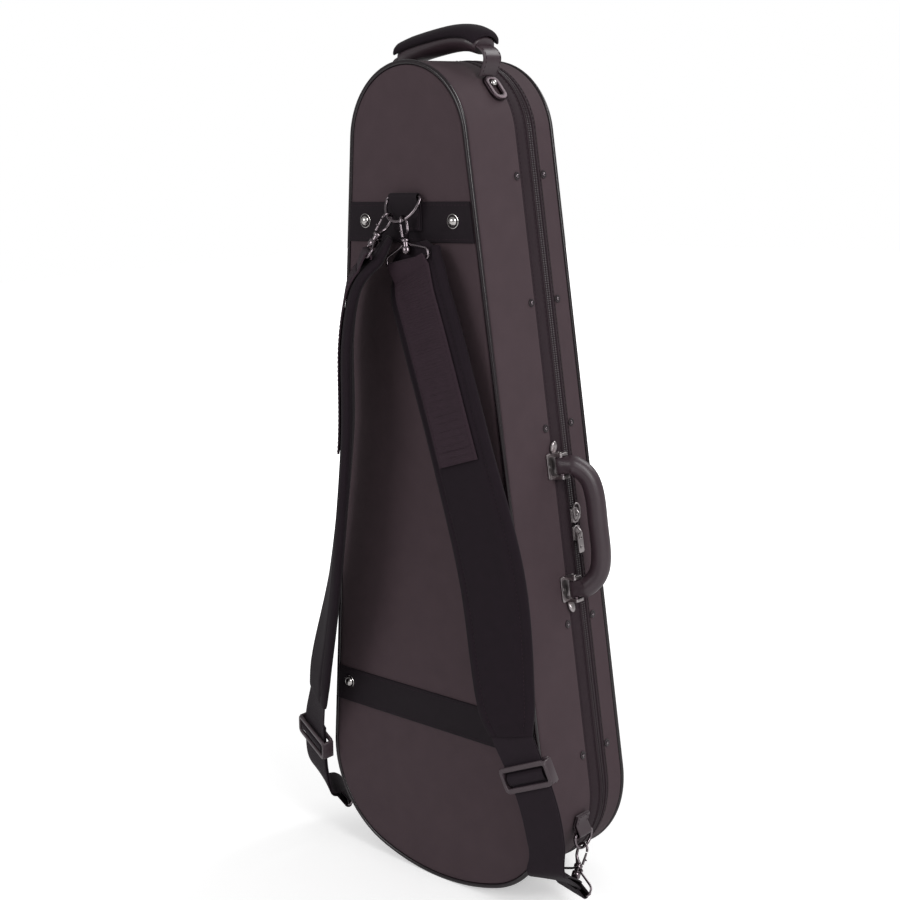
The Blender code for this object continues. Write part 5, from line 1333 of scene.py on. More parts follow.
class VIOLACASE_OT_strap_pads(bpy.types.Operator):
    """Model the two padded shoulder straps with their sewn channels"""
    bl_idname = "viola_case.strap_pads"
    bl_label = "Strap pads"

    def execute(self, context):
        for strap in STRAPS:
            places, widths = strap.cover_places()
            runs = run_lengths([place.point for place in places])
            sections = []
            for place, width, run in zip(places, widths, runs):
                from_end = min(run / strap.pad_lead, (runs[-1] - run) / 0.029)
                swell = math.sqrt(min(1.0, max(from_end, 0.0)))
                thickness = PAD_END_THICKNESS + (PAD_THICKNESS - PAD_END_THICKNESS) * swell
                sections.append(pad_section(width, thickness, strap.outward(place)))
            name = f"strap_pad_{strap.name}"
            pad = finished(swept(f"{name}_cover", places, sections), "strap_pad", "case", (name,), smooth=70)
            routes = []
            for side in (-1, 1):
                for face in (-1, 1):
                    points = [place.at(side * (width / 2 - 0.0085), face * PAD_THICKNESS * 0.33)
                              for place, width in zip(places[LEAD_STEPS:-6], widths[LEAD_STEPS:-6])]
                    routes.append((points, [place.b * face for place in places[LEAD_STEPS:-6]]))
            stitched(f"{name}_stitches", context, routes, "case")
        return {'FINISHED'}


class VIOLACASE_OT_ribbed_webbing(bpy.types.Operator):
    """Model the ribbed webbing that folds round each upper eye and runs down the pad's face"""
    bl_idname = "viola_case.ribbed_webbing"
    bl_label = "Ribbed webbing"

    def route(self, strap):
        places = strap.pad_places()
        eye = strap.top_hook()[1]
        bar, up = eye.at(0, 0, -EYE_DROP), eye.c
        start = places[COARSE]
        face = start.b * strap.outward(start)
        rise = PAD_THICKNESS / 2 + GAP + RIBBED_THICKNESS / 2
        radius = EYE_WIRE + FOLD_CLEARANCE + RIBBED_THICKNESS / 2
        points = [bar - face * (radius * math.cos(t)) + up * (radius * math.sin(t))
                  for t in arc_steps(0, math.pi, FOLD_STEPS)[:-2]]
        wides = [eye.a] * len(points)
        run = 0.0
        for i, place in enumerate(places[1:SEAM_START]):
            run += (place.point - places[i].point).length
        for before, place in zip(places[SEAM_START - 1:], places[SEAM_START:]):
            run += (place.point - before.point).length
            if run > RIBBED_END:
                break
            points.append(place.at(0, strap.outward(place) * rise + strap.set_back(place, run)))
            wides.append(place.a)
        return points, wides

    def execute(self, context):
        rib = context.scene.viola_case_sizes.webbing_rib
        for strap in STRAPS:
            points, wides = self.route(strap)
            folds = FOLD_STEPS - 1
            fine = points[:folds] + smooth_route(points[folds:], 6)
            fine_wides = wides[:folds] + smooth_route(wides[folds:], 6)
            places = ribbon_places(fine, fine_wides)
            runs = run_lengths(fine)
            flip = strap.outward(places[-1])
            sections = []
            for run in runs:
                ribbed = 0.00034 * math.sin(2 * math.pi * run / rib) * min(1.0, max(0.0, run - 0.020) / 0.006)
                section = []
                for a, b in webbing_section(RIBBED_WIDTH, RIBBED_THICKNESS, 14):
                    inside = 1.0 if abs(a) < RIBBED_WIDTH * 0.40 else 0.0
                    section.append((a, b + (ribbed * inside * flip if b * flip > 0 else 0)))
                sections.append(section)
            name = f"ribbed_webbing_{strap.name}"
            finished(swept(f"{name}_strip", places, sections), "strap_webbing", "case", (name,), smooth=50)
            routes = []
            for side in (-1, 1):
                edge = side * (RIBBED_WIDTH / 2 - 0.0030)
                line = [place.at(edge, flip * (RIBBED_THICKNESS / 2 + 0.0001)) for place in places[folds + 6:]]
                routes.append((line, [place.b * flip for place in places[folds + 6:]]))
            bartack = next(i for i, run in enumerate(runs) if run > 0.020)
            for i in (bartack, bartack + 3, len(places) - 12):
                place = places[i]
                ends = [place.at(side * (RIBBED_WIDTH / 2 - 0.003), flip * (RIBBED_THICKNESS / 2 + 0.0001))
                        for side in (-1, 1)]
                routes.append((ends, [place.b * flip] * 2))
            stitched(f"{name}_stitches", context, routes, "case")
        return {'FINISHED'}


class VIOLACASE_OT_lower_webbing(bpy.types.Operator):
    """Model the webbing from each pad, through its tri-glide and round the lower eye"""
    bl_idname = "viola_case.lower_webbing"
    bl_label = "Lower webbing"

    def execute(self, context):
        for strap in STRAPS:
            places, bar, lead, spoke = strap.webbing_places()
            route, wides = [place.point for place in places], [place.a for place in places]
            for t in arc_steps(0, math.pi, FOLD_STEPS)[1:]:
                route.append(bar + spoke * math.cos(t) - lead * spoke.length * math.sin(t))
                wides.append(places[-1].a)
            inner = 1 if places[-1].b.dot(spoke) > 0 else -1
            spread, layer = 2 * spoke.length, WEBBING_THICKNESS + 2 * GAP
            returning = places[-2:strap.glide_section - RETURN_PAST_GLIDE:-1]
            for i, place in enumerate(returning):
                share = min(1.0, (i + 1) / STRAP_SAMPLES)
                route.append(place.point - place.b * inner * (spread + (layer - spread) * share))
                wides.append(place.a)
            strip = ribbon_places(route, wides)
            strip[0] = places[0]
            name = f"lower_webbing_{strap.name}"
            section = webbing_section(WEBBING_WIDTH, WEBBING_THICKNESS)
            finished(swept(f"{name}_strip", strip, section), "tail_webbing", "case", (name,), smooth=50)
        return {'FINISHED'}


class VIOLACASE_OT_tri_glides(bpy.types.Operator):
    """Model the moulded tri-glides, with the turn of webbing over each middle bar"""
    bl_idname = "viola_case.tri_glides"
    bl_label = "Tri-glides"

    def execute(self, context):
        for strap in STRAPS:
            middle = strap.webbing_places()[0][strap.glide_section]
            inner = -1 if middle.b.y > 0 else 1
            face = Place(middle.point, middle.c, middle.a, middle.b * inner)
            lift = WEBBING_THICKNESS / 2 + GLIDE_CLEARANCE
            w, h, t = GLIDE_WIDTH / 2, GLIDE_HEIGHT / 2, GLIDE_THICKNESS
            window = (h - GLIDE_BAR, WEBBING_WIDTH / 2 + 0.0030)
            name = f"tri_glide_{strap.name}"
            front = ring_plate(name, face, rounded(h, w, 0.0052), rounded(*window, 0.0016), lift, lift + t, 0.0013)
            level = -lift - WEBBING_THICKNESS - 2 * GAP - t
            rails = []
            for side in (-1, 1):
                edge = side * (w + window[1]) / 2
                shape = [(a, edge + b) for a, b in rounded(h - 0.0015, (w - window[1]) / 2, 0.0010, 3)]
                rails.append(plate(name, face, shape, level, lift + t * 0.4, 0.0005))
            bars = []
            for end in (-1, 1):
                edge = end * (h - GLIDE_BAR / 2)
                shape = [(edge + a, b) for a, b in rounded(GLIDE_BAR / 2, w - 0.0015, 0.0012, 3)]
                bars.append(plate(name, face, shape, level, level + t, 0.0006))
            body = joined(f"{name}_body", [front] + rails + bars)
            finished(body, "glide_plastic", name, (name,), smooth=50)
            self.turn_of_webbing(name, face, lift, t, window[0] - 0.0014)
        return {'FINISHED'}

    def turn_of_webbing(self, name, face, lift, thickness, reach):
        """Webbing that rises through the window and over the hidden middle bar."""
        high = lift + thickness * 0.62
        low = lift - GLIDE_CLEARANCE + WEBBING_THICKNESS / 2 + GAP
        points = [face.at(a, 0, c) for a, c in (
            (reach - 0.0006, low), (reach - 0.0016, (low + high) / 2), (reach * 0.45, high), (0, high + 0.0004),
            (-reach * 0.45, high), (-reach + 0.0022, (low + high) / 2), (-reach + 0.0012, low))]
        route = smooth_route(points, 6)
        section = webbing_section(WEBBING_WIDTH, 0.0012)
        strip = swept(f"{name}_webbing", ribbon_places(route, [face.b] * len(route)), section)
        finished(strip, "tail_webbing", name, smooth=50)


def handle_place():
    """On the side handle's pins: a is out along the handle, b across it and c up the wall."""
    wall = wall_place(RIGHT_SIDE, HANDLE_Z, Y_HANDLE)
    lean = math.radians(HANDLE_LEAN)
    out = wall.c * math.cos(lean) + wall.b * math.sin(lean)
    across = wall.b * math.cos(lean) - wall.c * math.sin(lean)
    return Place(wall.at(0, 0, PIN_LIFT), out, across, wall.a)


class VIOLACASE_OT_handle_brackets(bpy.types.Operator):
    """Model the two nickel brackets of the side handle, with their pins and polished leaves"""
    bl_idname = "viola_case.handle_brackets"
    bl_label = "Handle brackets"

    def leaf(self, name, wall, end):
        """A domed oval leaf past the bracket, pressed up from the plate and tilted off the wall."""
        rows, reach = [], LEAF_LENGTH / 2
        middle = BRACKET_OUTER - 0.0012 + reach
        for share, height in ((0.0, 0.0), (1.0, 0.0), (1.0, 0.0008), (0.94, 0.0012), (0.75, 0.0019), (0.5, 0.0024),
                              (0.25, 0.0027), (0.0, 0.0028)):
            row = []
            for t in arc_steps(0, 2 * math.pi, 32)[:-1]:
                out = reach * share * math.cos(t)
                row.append(wall.at(end * (middle + out), LEAF_WIDTH / 2 * share * math.sin(t),
                                   GAP + height + (reach + out) * LEAF_TILT))
            rows.append(row)
        return loft(name, rows)

    def bracket(self, name, end):
        wall = wall_place(RIGHT_SIDE, HANDLE_Z, Y_HANDLE).moved(a=end * HANDLE_HALF_SPAN)
        middle = (BRACKET_OUTER - BRACKET_INNER) / 2
        half = (BRACKET_OUTER + BRACKET_INNER) / 2
        shape = [(end * (middle + a), b) for a, b in rounded(half, BRACKET_WIDTH / 2, 0.002, 4)]
        parts = [plate(name, wall, shape, GAP, GAP + BRACKET_THICKNESS, 0.0004), self.leaf(name, wall, end)]
        gap = HANDLE_ROOT + GAP
        across = Place(wall.point, wall.b, wall.c, wall.a)
        high = PIN_LIFT + EAR_WIDTH / 2
        for low in (-gap - EAR_THICKNESS, gap):
            ear = [(a, (GAP + high) / 2 + b) for a, b in rounded(EAR_WIDTH / 2, (high - GAP) / 2, 0.0018, 6)]
            parts.append(plate(name, across, ear, low, low + EAR_THICKNESS, 0.0004))
        for b in (-BRACKET_WIDTH / 2 + 0.0032, BRACKET_WIDTH / 2 - 0.0032):
            head = ((0.0016, 0), (0.0016, 0.0001), (0.0012, 0.0003), (0.0005, 0.0004), (0, 0.00042))
            parts.append(turned(name, wall.moved(b=b, c=GAP + BRACKET_THICKNESS), head, 20))
        finished(joined(f"{name}_pressing", parts), "satin", "case", (name,), smooth=45)

    def pin(self, name, end):
        wall = wall_place(RIGHT_SIDE, HANDLE_Z, Y_HANDLE).moved(a=end * HANDLE_HALF_SPAN, c=PIN_LIFT)
        place = Place(wall.point, wall.b, wall.c, wall.a)
        reach = HANDLE_ROOT + GAP + EAR_THICKNESS
        r = PIN_RADIUS
        profile = [(0, -reach - 0.0010), (r * 0.9, -reach - 0.0009), (r * 1.35, -reach - 0.0004), (r * 1.35, -reach),
                   (r, -reach), (r, reach), (r * 1.35, reach), (r * 1.35, reach + 0.0004), (r * 0.9, reach + 0.0009),
                   (0, reach + 0.0010)]
        finished(turned(f"{name}_rivet", place, profile, 24), "nickel", "case", (name,))

    def execute(self, context):
        for place, end in (("upper", 1), ("lower", -1)):
            self.bracket(f"{place}_handle_bracket", end)
            self.pin(f"handle_pin_{place}", end)
        return {'FINISHED'}


class VIOLACASE_OT_side_handle(bpy.types.Operator):
    """Model the moulded D handle with its parting ridge and metal bushes"""
    bl_idname = "viola_case.side_handle"
    bl_label = "Side handle"

    def execute(self, context):
        place = handle_place()
        r, root, span, reach = HANDLE_HALF, HANDLE_ROOT, HANDLE_HALF_SPAN, HANDLE_REACH
        half = [(-0.0050, span, root * 0.80, 0.0018), (-0.0044, span, root * 0.94, 0.0036),
                (-0.0026, span, root, 0.0052), (0.0022, span, root, 0.0068), (0.0066, span, root, 0.0083),
                (0.0100, span - 0.0005, r, r), (reach - 0.0130, span - 0.0032, r, r),
                (reach - 0.0065, span - 0.0094, r, r), (reach - 0.0020, span - 0.0190, r, r),
                (reach, span - 0.0340, r, r)]
        stations = half + [(reach, 0, r, r)] + [(a, -c, s, d) for a, c, s, d in half[::-1]]
        route = smooth_route([Vector(station) for station in stations], 5)
        rows = []
        for i, station in enumerate(route):
            before, after = route[max(i - 1, 0)], route[min(i + 1, len(route) - 1)]
            along = Vector((after.x - before.x, after.y - before.y)).normalized()
            across = Vector((-along.y, along.x))
            row = []
            for t in arc_steps(0, 2 * math.pi, 36)[:-1]:
                ridge = 0.00035 if abs(math.sin(t)) > 0.985 else 0.0
                high, deep = station.z * math.cos(t), (station.w + ridge) * math.sin(t)
                row.append(place.at(station.x + across.x * high, deep, station.y + across.y * high))
            rows.append(row)
        grip = loft("side_handle_moulding", rows)
        finished(grip, "handle_vinyl", "side_handle", ("side_handle",), smooth=50)
        bushes, reach = [], HANDLE_ROOT + GAP / 2
        for end in (-1, 1):
            bush = place.moved(c=end * HANDLE_HALF_SPAN)
            outer = [(BUSH_RADIUS * math.cos(t), BUSH_RADIUS * math.sin(t)) for t in arc_steps(0, 2 * math.pi, 28)[:-1]]
            inner = [(a * (PIN_RADIUS + 0.0001) / BUSH_RADIUS, b * (PIN_RADIUS + 0.0001) / BUSH_RADIUS) for a, b in outer]
            bushes.append(ring_plate("side_handle_bushes", bush, outer, inner, -reach, reach, 0.0001))
        finished(joined("side_handle_bushes", bushes), "gunmetal", "side_handle")
        return {'FINISHED'}


def fitting_place(side):
    """On the top arc, where a strap end sits: a runs down the wall and c outwards."""
    angle = math.radians(FITTING_ANGLE)
    out = Vector((side * math.sin(angle), 0, math.cos(angle)))
    down = Vector((side * math.cos(angle), 0, -math.sin(angle)))
    return Place(Vector((0, TOP_HANDLE_Y, Outline.top.y)) + out * TOP_RADIUS, down, FORWARD, out)


class VIOLACASE_OT_top_handle(bpy.types.Operator):
    """Model the padded top handle: grip, wrap, strap ends, cast frames and studs"""
    bl_idname = "viola_case.top_handle"
    bl_label = "Top handle"

    def fitting(self, name, seat):
        top = GAP + FRAME_THICKNESS
        outer = rounded(FRAME_LENGTH / 2, FRAME_WIDTH / 2, FRAME_WIDTH / 2 - 0.0015, 8)
        inner = rounded(SLOT_LENGTH / 2, SLOT_WIDTH / 2, SLOT_WIDTH / 2 - 0.0006, 8)
        frame_plate = ring_plate(f"top_handle_frame_{name}_casting", seat, outer, inner, GAP, top, 0.0012)
        finished(frame_plate, "blackened", "top_handle", (f"top_handle_frame_{name}",), smooth=50)
        back = SLOT_LENGTH / 2 - TOP_STUD_RADIUS - GAP
        r, h = TOP_STUD_RADIUS, TOP_STUD_HEIGHT
        profile = ((r, GAP), (r, h * 0.5), (r * 0.97, h * 0.62), (r * 0.86, h * 0.78), (r * 0.62, h * 0.91),
                   (r * 0.3, h * 0.98), (0, h))
        finished(turned(f"top_handle_stud_{name}_dome", seat.moved(a=-back), profile), "nickel", "case",
                 (f"top_handle_stud_{name}",))

    def strap_end(self, name, side, seat, grip_end, context):
        end = grip_end.point
        level = GAP + FRAME_THICKNESS
        foot = seat.at(-FRAME_LENGTH / 2 - 2 * GAP, 0, level - TOP_STRAP_THICKNESS / 2)
        away = grip_end.c if grip_end.c.x * side > 0 else -grip_end.c
        upright = foot + Vector((side * TOP_STRAP_BEND[0] * 0.6, 0, TOP_STRAP_BEND[0]))
        route = interpolate_bezier(foot, upright, end + away * TOP_STRAP_BEND[1], end, 33)
        places = ribbon_places(route, [FORWARD] * len(route))
        facing = grip_end.b if grip_end.b.dot(places[-1].b) > 0 else -grip_end.b
        places[-1] = Place(end, grip_end.a, facing, places[-1].c)
        section = webbing_section(TOP_STRAP_WIDTH, TOP_STRAP_THICKNESS)
        tag = f"top_handle_strap_{name}"
        finished(swept(f"{tag}_end", places, section), "handle_vinyl", "top_handle", (tag,), smooth=50)
        outer = 1 if places[8].b.dot(Vector((side, 0, 1))) > 0 else -1
        routes = []
        for edge in (-1, 1):
            line = [place.at(edge * (TOP_STRAP_WIDTH / 2 - 0.0022), outer * (TOP_STRAP_THICKNESS / 2 + 0.0001))
                    for place in places[2:-3]]
            routes.append((line, [place.b * outer for place in places[2:-3]]))
        stitched(f"{tag}_stitches", context, routes, "top_handle")

    def execute(self, context):
        coarse = smooth_route([Vector((x, TOP_HANDLE_Y, CASE_LENGTH + rise)) for x, rise in GRIP_STATIONS], 2)
        coarse = ribbon_places(coarse, [FORWARD] * len(coarse))
        grip_ends = {LEFT_SIDE: coarse[0].moved(c=-GAP), RIGHT_SIDE: coarse[-1].moved(c=GAP)}
        for side, name in SIDES:
            seat = fitting_place(side)
            self.fitting(name, seat)
            self.strap_end(name, side, seat, grip_ends[side], context)
        fine = smooth_route([place.point for place in coarse], 5)
        places = ribbon_places(fine, [FORWARD] * len(fine))
        places[0], places[-1] = coarse[0], coarse[-1]
        self.grip(places)
        self.wrap(places, context)
        return {'FINISHED'}

    def grip(self, places):
        """Vinyl rolled round a foam core, drawn in at both ends."""
        runs = run_lengths([place.point for place in places])
        rows = []
        for place, run in zip(places, runs):
            from_end = min(run, runs[-1] - run)
            swell = 0.80 + 0.20 * math.sqrt(min(1.0, from_end / 0.010))
            rows.append([place.at(GRIP_HALF_WIDTH * swell * math.cos(t), GRIP_HALF_HEIGHT * swell * math.sin(t))
                         for t in arc_steps(0, 2 * math.pi, 32)[:-1]])
        grip = finished(loft("top_handle_grip_roll", rows), "handle_vinyl", "top_handle", ("top_handle_grip",))

    def wrap(self, places, context):
        """A padded cloth saddle over the grip, thick along its middle and turned under at its edges."""
        up = 1 if places[0].b.z > 0 else -1
        edge = math.radians(WRAP_EDGE_ANGLE)
        turns = arc_steps(edge, math.pi - edge, 28)
        inner = (GRIP_HALF_WIDTH + WRAP_CLEARANCE, GRIP_HALF_HEIGHT + WRAP_CLEARANCE)
        runs = run_lengths([place.point for place in places])
        rows = []
        for place, run in zip(places, runs):
            end = math.sqrt(min(1.0, min(run, runs[-1] - run) / 0.004))
            row = []
            for i, t in enumerate(turns):
                from_edge_share = min(i, len(turns) - 1 - i) / 3
                swell = (0.55 + 0.45 * end) * (0.60 + 0.40 * math.sqrt(min(1.0, from_edge_share)))
                row.append(place.at((inner[0] + WRAP_THICKNESS[0] * swell) * math.cos(t),
                                    up * (inner[1] + WRAP_THICKNESS[1] * swell) * math.sin(t)))
            row += [place.at(inner[0] * math.cos(t), up * inner[1] * math.sin(t)) for t in turns[::-1]]
            rows.append(row)
        wrap = finished(loft("top_handle_wrap_cover", rows), "strap_pad", "top_handle", ("top_handle_wrap",), smooth=60)


def slider_place(z):
    return wall_place(RIGHT_SIDE, z, Y_SEAM)


CROWN_HEIGHT = CROWN_TOP - CROWN_BAR - CROWN_HOLE


class VIOLACASE_OT_zip_sliders(bpy.types.Operator):
    """Model the two zip sliders with their arched crowns"""
    bl_idname = "viola_case.zip_sliders"
    bl_label = "Zip sliders"

    def slider(self, name, z):
        place = slider_place(z)
        half, w = SLIDER_LENGTH / 2, SLIDER_HALF_WIDTH
        shape = []
        for t in arc_steps(0, 2 * math.pi, 40)[:-1]:
            a, b = math.cos(t), math.sin(t)
            waist = 1 - 0.18 * math.exp(-((a * 1.0) ** 2) * 6)
            shape.append((half * math.copysign(abs(a) ** 0.6, a), w * waist * math.copysign(abs(b) ** 0.7, b)))
        upper = plate(name, place, shape, SLIDER_FOOT + 0.0006, SLIDER_TOP, 0.0005)
        guides = []
        for side in (-1, 1):
            rail = [(a * 0.86, side * (w - 0.0009) + b) for a, b in rounded(half, 0.0007, 0.0006, 3)]
            guides.append(plate(name, place, rail, SLIDER_FOOT, SLIDER_FOOT + 0.0010, 0.0002))
        arch = [(-half * 0.80, SLIDER_TOP - 0.0004), (-half * 0.62, SLIDER_TOP + 0.0018), (-half * 0.30, CROWN_TOP - 0.0009),
                (0, CROWN_TOP - 0.0006), (half * 0.30, CROWN_TOP - 0.0009), (half * 0.62, SLIDER_TOP + 0.0018),
                (half * 0.80, SLIDER_TOP - 0.0004)]
        route = smooth_route([place.at(a, 0, c) for a, c in arch], 5)
        crown = wire(name, route, 0.0007, place.b, 12, flat=CROWN_HALF / 0.0007)
        body = joined(f"{name}_casting", [upper] + guides + [crown])
        finished(body, "satin", name.replace("_zip", ""), (name,), smooth=50)

    def execute(self, context):
        self.slider("upper_zip_slider", UPPER_SLIDER_Z)
        self.slider("lower_zip_slider", LOWER_SLIDER_Z)
        return {'FINISHED'}


class VIOLACASE_OT_zip_pulls(bpy.types.Operator):
    """Model the wire ring on the upper slider and the riveted tab on the lower one"""
    bl_idname = "viola_case.zip_pulls"
    bl_label = "Zip pulls"

    def execute(self, context):
        upper = slider_place(UPPER_SLIDER_Z).moved(c=CROWN_HEIGHT)
        half, reach = RING_PULL_HALF, RING_PULL_REACH
        points = [(0, -half + 0.0010), (0, half - 0.0010), (0.0003, half - 0.0003), (0.0010, half)]
        points += [(reach - half + half * math.sin(t), half * math.cos(t)) for t in arc_steps(0, math.pi, 18)]
        points += [(0.0010, -half), (0.0003, -half + 0.0003)]
        ring = wire("ring_pull_wire", [upper.at(a, b) for a, b in points], PULL_WIRE, upper.c, 12, closed=True)
        finished(ring, "satin", "ring_pull", ("ring_pull",), smooth=80)
        lower = slider_place(LOWER_SLIDER_Z).moved(c=CROWN_HEIGHT)
        bar, window, t = 0.0008, 0.0052, TAB_THICKNESS / 2
        middle = (bar - TAB_LENGTH) / 2
        outer = [(middle + a, b) for a, b in rounded((bar + TAB_LENGTH) / 2, TAB_WIDTH / 2, 0.0016, 5)]
        gap = ((-bar - window) / 2, (window - bar) / 2)
        inner = [(gap[0] + a, b) for a, b in rounded(gap[1], CROWN_HALF + 0.0006, 0.0006, 5)]
        tab = ring_plate("tab_pull_plate", lower, outer, inner, -t, t, 0.0004)
        rivet = turned("tab_pull_rivet", lower.moved(a=-TAB_LENGTH + 0.0052, c=t),
                       ((0.0016, 0), (0.0016, 0.0002), (0.0012, 0.0006), (0.0005, 0.0008), (0, 0.00085)), 20)
        finished(joined("tab_pull_plate", [tab, rivet]), "satin", "tab_pull", ("tab_pull",), smooth=45)
        return {'FINISHED'}


class VIOLACASE_OT_hinge(bpy.types.Operator):
    """Model the hinge on the left flank: two screwed leaves, three knuckles and the pin"""
    bl_idname = "viola_case.hinge"
    bl_label = "Hinge"

    def leaf(self, name, sign, spans, body):
        place = wall_place(LEFT_SIDE, HINGE_Z, Y_SEAM).moved(c=GAP + KNUCKLE_RADIUS)
        width, low = HINGE_LEAF_WIDTH, -KNUCKLE_RADIUS
        shape = [(a, sign * (KNUCKLE_RADIUS + width / 2) + b)
                 for a, b in rounded(HINGE_LENGTH / 2, width / 2, 0.0022, 4)]
        parts = [plate(name, place, shape, low, low + HINGE_SHEET, 0.0003)]
        axle = Place(place.point, place.b, place.c, place.a)
        bore = [((HINGE_PIN_RADIUS + 0.0001) * math.cos(t), (HINGE_PIN_RADIUS + 0.0001) * math.sin(t))
                for t in arc_steps(0, 2 * math.pi, 32)[:-1]]
        barrel = [(KNUCKLE_RADIUS * math.cos(t), KNUCKLE_RADIUS * math.sin(t))
                  for t in arc_steps(0, 2 * math.pi, 32)[:-1]]
        for start, end in spans:
            parts.append(ring_plate(name, axle, barrel, bore, start, end, 0.0002))
            roll = [(a, b) for a, b in rounded((end - start) / 2 - 0.0002, KNUCKLE_RADIUS / 2 + 0.0004, 0.0002, 2)]
            shift = (start + end) / 2
            web = [(shift + a, sign * (KNUCKLE_RADIUS * 0.6) + b) for a, b in roll]
            parts.append(plate(name, place, web, low, low + HINGE_SHEET, 0.0002))
        for i in range(5):
            spot = place.moved(a=(i - 2) * HINGE_LENGTH / 5.4, b=sign * (KNUCKLE_RADIUS + width * 0.55),
                               c=low + HINGE_SHEET)
            parts.append(turned(name, spot, ((0.0018, 0), (0.0018, 0.0002), (0.0014, 0.0005), (0.0007, 0.0007),
                                             (0, 0.00075)), 20))
        finished(joined(f"{name}_plate", parts), "nickel", body, (name,), smooth=45)

    def execute(self, context):
        share, half = KNUCKLE_LENGTH / 2, HINGE_LENGTH / 2
        self.leaf("back_hinge_leaf", -1, ((-half, -share - GAP), (share + GAP, half)), "case")
        self.leaf("lid_hinge_leaf", 1, ((-share, share),), "lid")
        place = wall_place(LEFT_SIDE, HINGE_Z, Y_SEAM).moved(c=GAP + KNUCKLE_RADIUS)
        r = HINGE_PIN_RADIUS
        profile = ((0, -half), (r * 0.7, -half), (r, -half + 0.0004), (r, half - 0.0004), (r * 0.7, half), (0, half))
        finished(turned("hinge_pin_rod", Place(place.point, place.b, place.c, place.a), profile, 24), "nickel",
                 "case", ("hinge_pin",))
        return {'FINISHED'}


def inner_half(z):
    """Clear half-width between the linings at a height."""
    return half_width(z) - WALL - LINING_THICKNESS - 2 * GAP - 0.001


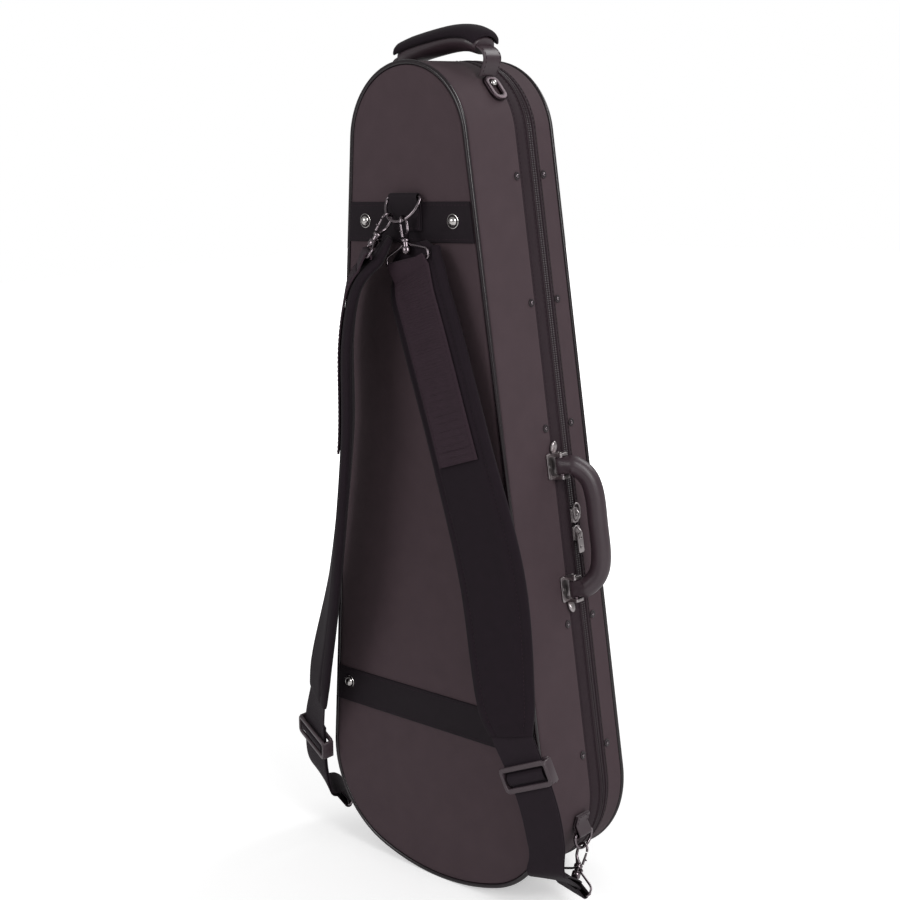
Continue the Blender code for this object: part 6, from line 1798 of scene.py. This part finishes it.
class VIOLACASE_OT_inside(bpy.types.Operator):
    """Model the plush lining of the back, the accessory box with its lid and ribbon, and the bow clips"""
    bl_idname = "viola_case.inside"
    bl_label = "Inside"

    def lining(self):
        out, inn = -(WALL + GAP), -(WALL + GAP + LINING_THICKNESS)
        low = Y_FLOOR + GAP
        floor, top = low + 0.006, Y_BACK_RIM
        soft = 0.0016
        profile = [(inn - 0.004, floor), (inn - 0.0010, floor + 0.0006), (inn, floor + 0.004), (inn, top - soft),
                   (inn + soft * 0.4, top - soft * 0.3), (inn + soft, top), (out - soft, top),
                   (out - soft * 0.3, top - soft * 0.4), (out, top - soft), (out, low)]
        finished(loft("back_plush", [rim(offset, y) for offset, y in profile]), "plush", "case", ("back_lining",),
                 smooth=60)

    def box_level(self, inset, y, grow=0.0):
        channel = NECK_CHANNEL / 2
        corners = ((channel + inset, BOX_LOW + inset), (inner_half(BOX_LOW) - inset, BOX_LOW + inset),
                   (inner_half(BOX_HIGH) - inset, BOX_HIGH - inset), (channel + inset, BOX_HIGH - inset))
        middle = Vector((sum(x for x, _ in corners) / 4, sum(z for _, z in corners) / 4))
        level = []
        for i, (x, z) in enumerate(corners):
            before, after = Vector(corners[i - 1]), Vector(corners[(i + 1) % 4])
            here = Vector((x, z))
            first, second = (before - here).normalized() * 0.003, (after - here).normalized() * 0.003
            for t in arc_steps(0, 1, 4):
                corner = here + first * (1 - t) ** 2 + second * t ** 2
                corner += (corner - middle).normalized() * grow
                level.append(Vector((corner.x, y, corner.y)))
        return level

    def box(self):
        floor = Y_FLOOR + GAP + 0.006 + GAP
        top = floor + BOX_DEPTH
        rim_y = top - BOX_LID_THICKNESS - GAP
        levels = ((BOX_WALL, floor + BOX_WALL), (BOX_WALL, rim_y - 0.0006), (BOX_WALL - 0.0006, rim_y),
                  (0.0006, rim_y), (0, rim_y - 0.0006), (0, floor))
        rows = [self.box_level(inset, y) for inset, y in levels]
        finished(loft("accessory_box_tray", rows), "plush", "case", ("accessory_box",), smooth=50)
        levels = ((0.0005, rim_y + GAP), (0, rim_y + GAP + 0.0005), (0, top - 0.0006), (0.0006, top))
        rows = [self.box_level(inset, y) for inset, y in levels]
        lid = loft("accessory_lid_board", rows)
        finished(lid, "plush", "accessory_lid", ("accessory_lid",), smooth=50)
        x = inner_half((BOX_LOW + BOX_HIGH) / 2) - 0.004
        z = (BOX_LOW + BOX_HIGH) / 2
        points = [Vector((x - 0.006, top + 0.0006, z)), Vector((x - 0.001, top + 0.0007, z)),
                  Vector((x - 0.0035, top + 0.0024, z)), Vector((x - 0.010, top + 0.0030, z)),
                  Vector((x - 0.016, top + 0.0012, z))]
        route = smooth_route(points, 6)
        strip = swept("accessory_lid_ribbon", ribbon_places(route, [UP] * len(route)), webbing_section(0.010, 0.0008))
        finished(strip, "band_webbing", "accessory_lid")

    def clip(self, name, side):
        place = Place((side * CLIP_X, Y_CEILING - GAP, CLIP_Z), UP, RIGHT, -FORWARD)
        shape = []
        for t in arc_steps(0, 2 * math.pi, 48)[:-1]:
            a, b = CLIP_ROUND * math.cos(t), CLIP_ROUND * math.sin(t)
            if math.cos(t) > 0:
                a += (CLIP_ARM - CLIP_ROUND) * math.cos(t) ** 2
                b *= 1 - 0.35 * math.cos(t)
            shape.append((a, b))
        foot, high = CLIP_STEM_HEIGHT, CLIP_STEM_HEIGHT + CLIP_BLADE
        blade = plate(name, place, shape, foot, high, 0.0008)
        stem = turned(name, place, ((CLIP_STEM, 0), (CLIP_STEM, foot + 0.0005), (CLIP_STEM * 0.8, foot + 0.001)), 28)
        cap = turned(name, place.moved(c=high - 0.0002), ((0.0036, 0), (0.0034, 0.0006), (0.0022, 0.0010), (0, 0.0011)), 28)
        finished(joined(f"{name}_blade", [blade, stem, cap]), "glide_plastic", name, (name,), smooth=45)

    def execute(self, context):
        self.lining()
        self.box()
        for side, name in SIDES:
            self.clip(f"bow_clip_{name}", side)
        return {'FINISHED'}


PIECES = (VIOLACASE_OT_stage, VIOLACASE_OT_shells, VIOLACASE_OT_front_panel, VIOLACASE_OT_piping,
          VIOLACASE_OT_zip, VIOLACASE_OT_rivets, VIOLACASE_OT_bands, VIOLACASE_OT_ring_loops, VIOLACASE_OT_rings,
          VIOLACASE_OT_snap_hooks, VIOLACASE_OT_strap_pads, VIOLACASE_OT_ribbed_webbing,
          VIOLACASE_OT_lower_webbing, VIOLACASE_OT_tri_glides, VIOLACASE_OT_handle_brackets,
          VIOLACASE_OT_side_handle, VIOLACASE_OT_top_handle, VIOLACASE_OT_zip_sliders, VIOLACASE_OT_zip_pulls,
          VIOLACASE_OT_hinge, VIOLACASE_OT_inside)


class VIOLACASE_PT_panel(bpy.types.Panel):
    """The pieces of the case, and the sizes and colours that they take"""
    bl_idname = "VIOLACASE_PT_panel"
    bl_label = "Viola case"
    bl_space_type = 'VIEW_3D'
    bl_region_type = 'UI'
    bl_category = "Viola case"

    def draw(self, context):
        for group in (context.scene.viola_case_sizes, context.scene.viola_case_colours):
            box = self.layout.box()
            for name in group.bl_rna.properties.keys():
                if name not in ("rna_type", "name"):
                    box.prop(group, name)
        for piece in PIECES:
            self.layout.operator(piece.bl_idname)


CLASSES = (ViolaCaseSizes, ViolaCaseColours) + PIECES + (VIOLACASE_PT_panel,)


def register():
    for item in CLASSES:
        bpy.utils.register_class(item)
    bpy.types.Scene.viola_case_sizes = bpy.props.PointerProperty(type=ViolaCaseSizes)
    bpy.types.Scene.viola_case_colours = bpy.props.PointerProperty(type=ViolaCaseColours)


def unregister():
    del bpy.types.Scene.viola_case_colours
    del bpy.types.Scene.viola_case_sizes
    for item in reversed(CLASSES):
        bpy.utils.unregister_class(item)


def main():
    register()
    FINISHES.update(make_finishes(bpy.context))
    for piece in PIECES:
        group, name = piece.bl_idname.split(".")
        getattr(getattr(bpy.ops, group), name)()


if __name__ == "__main__":
    main()
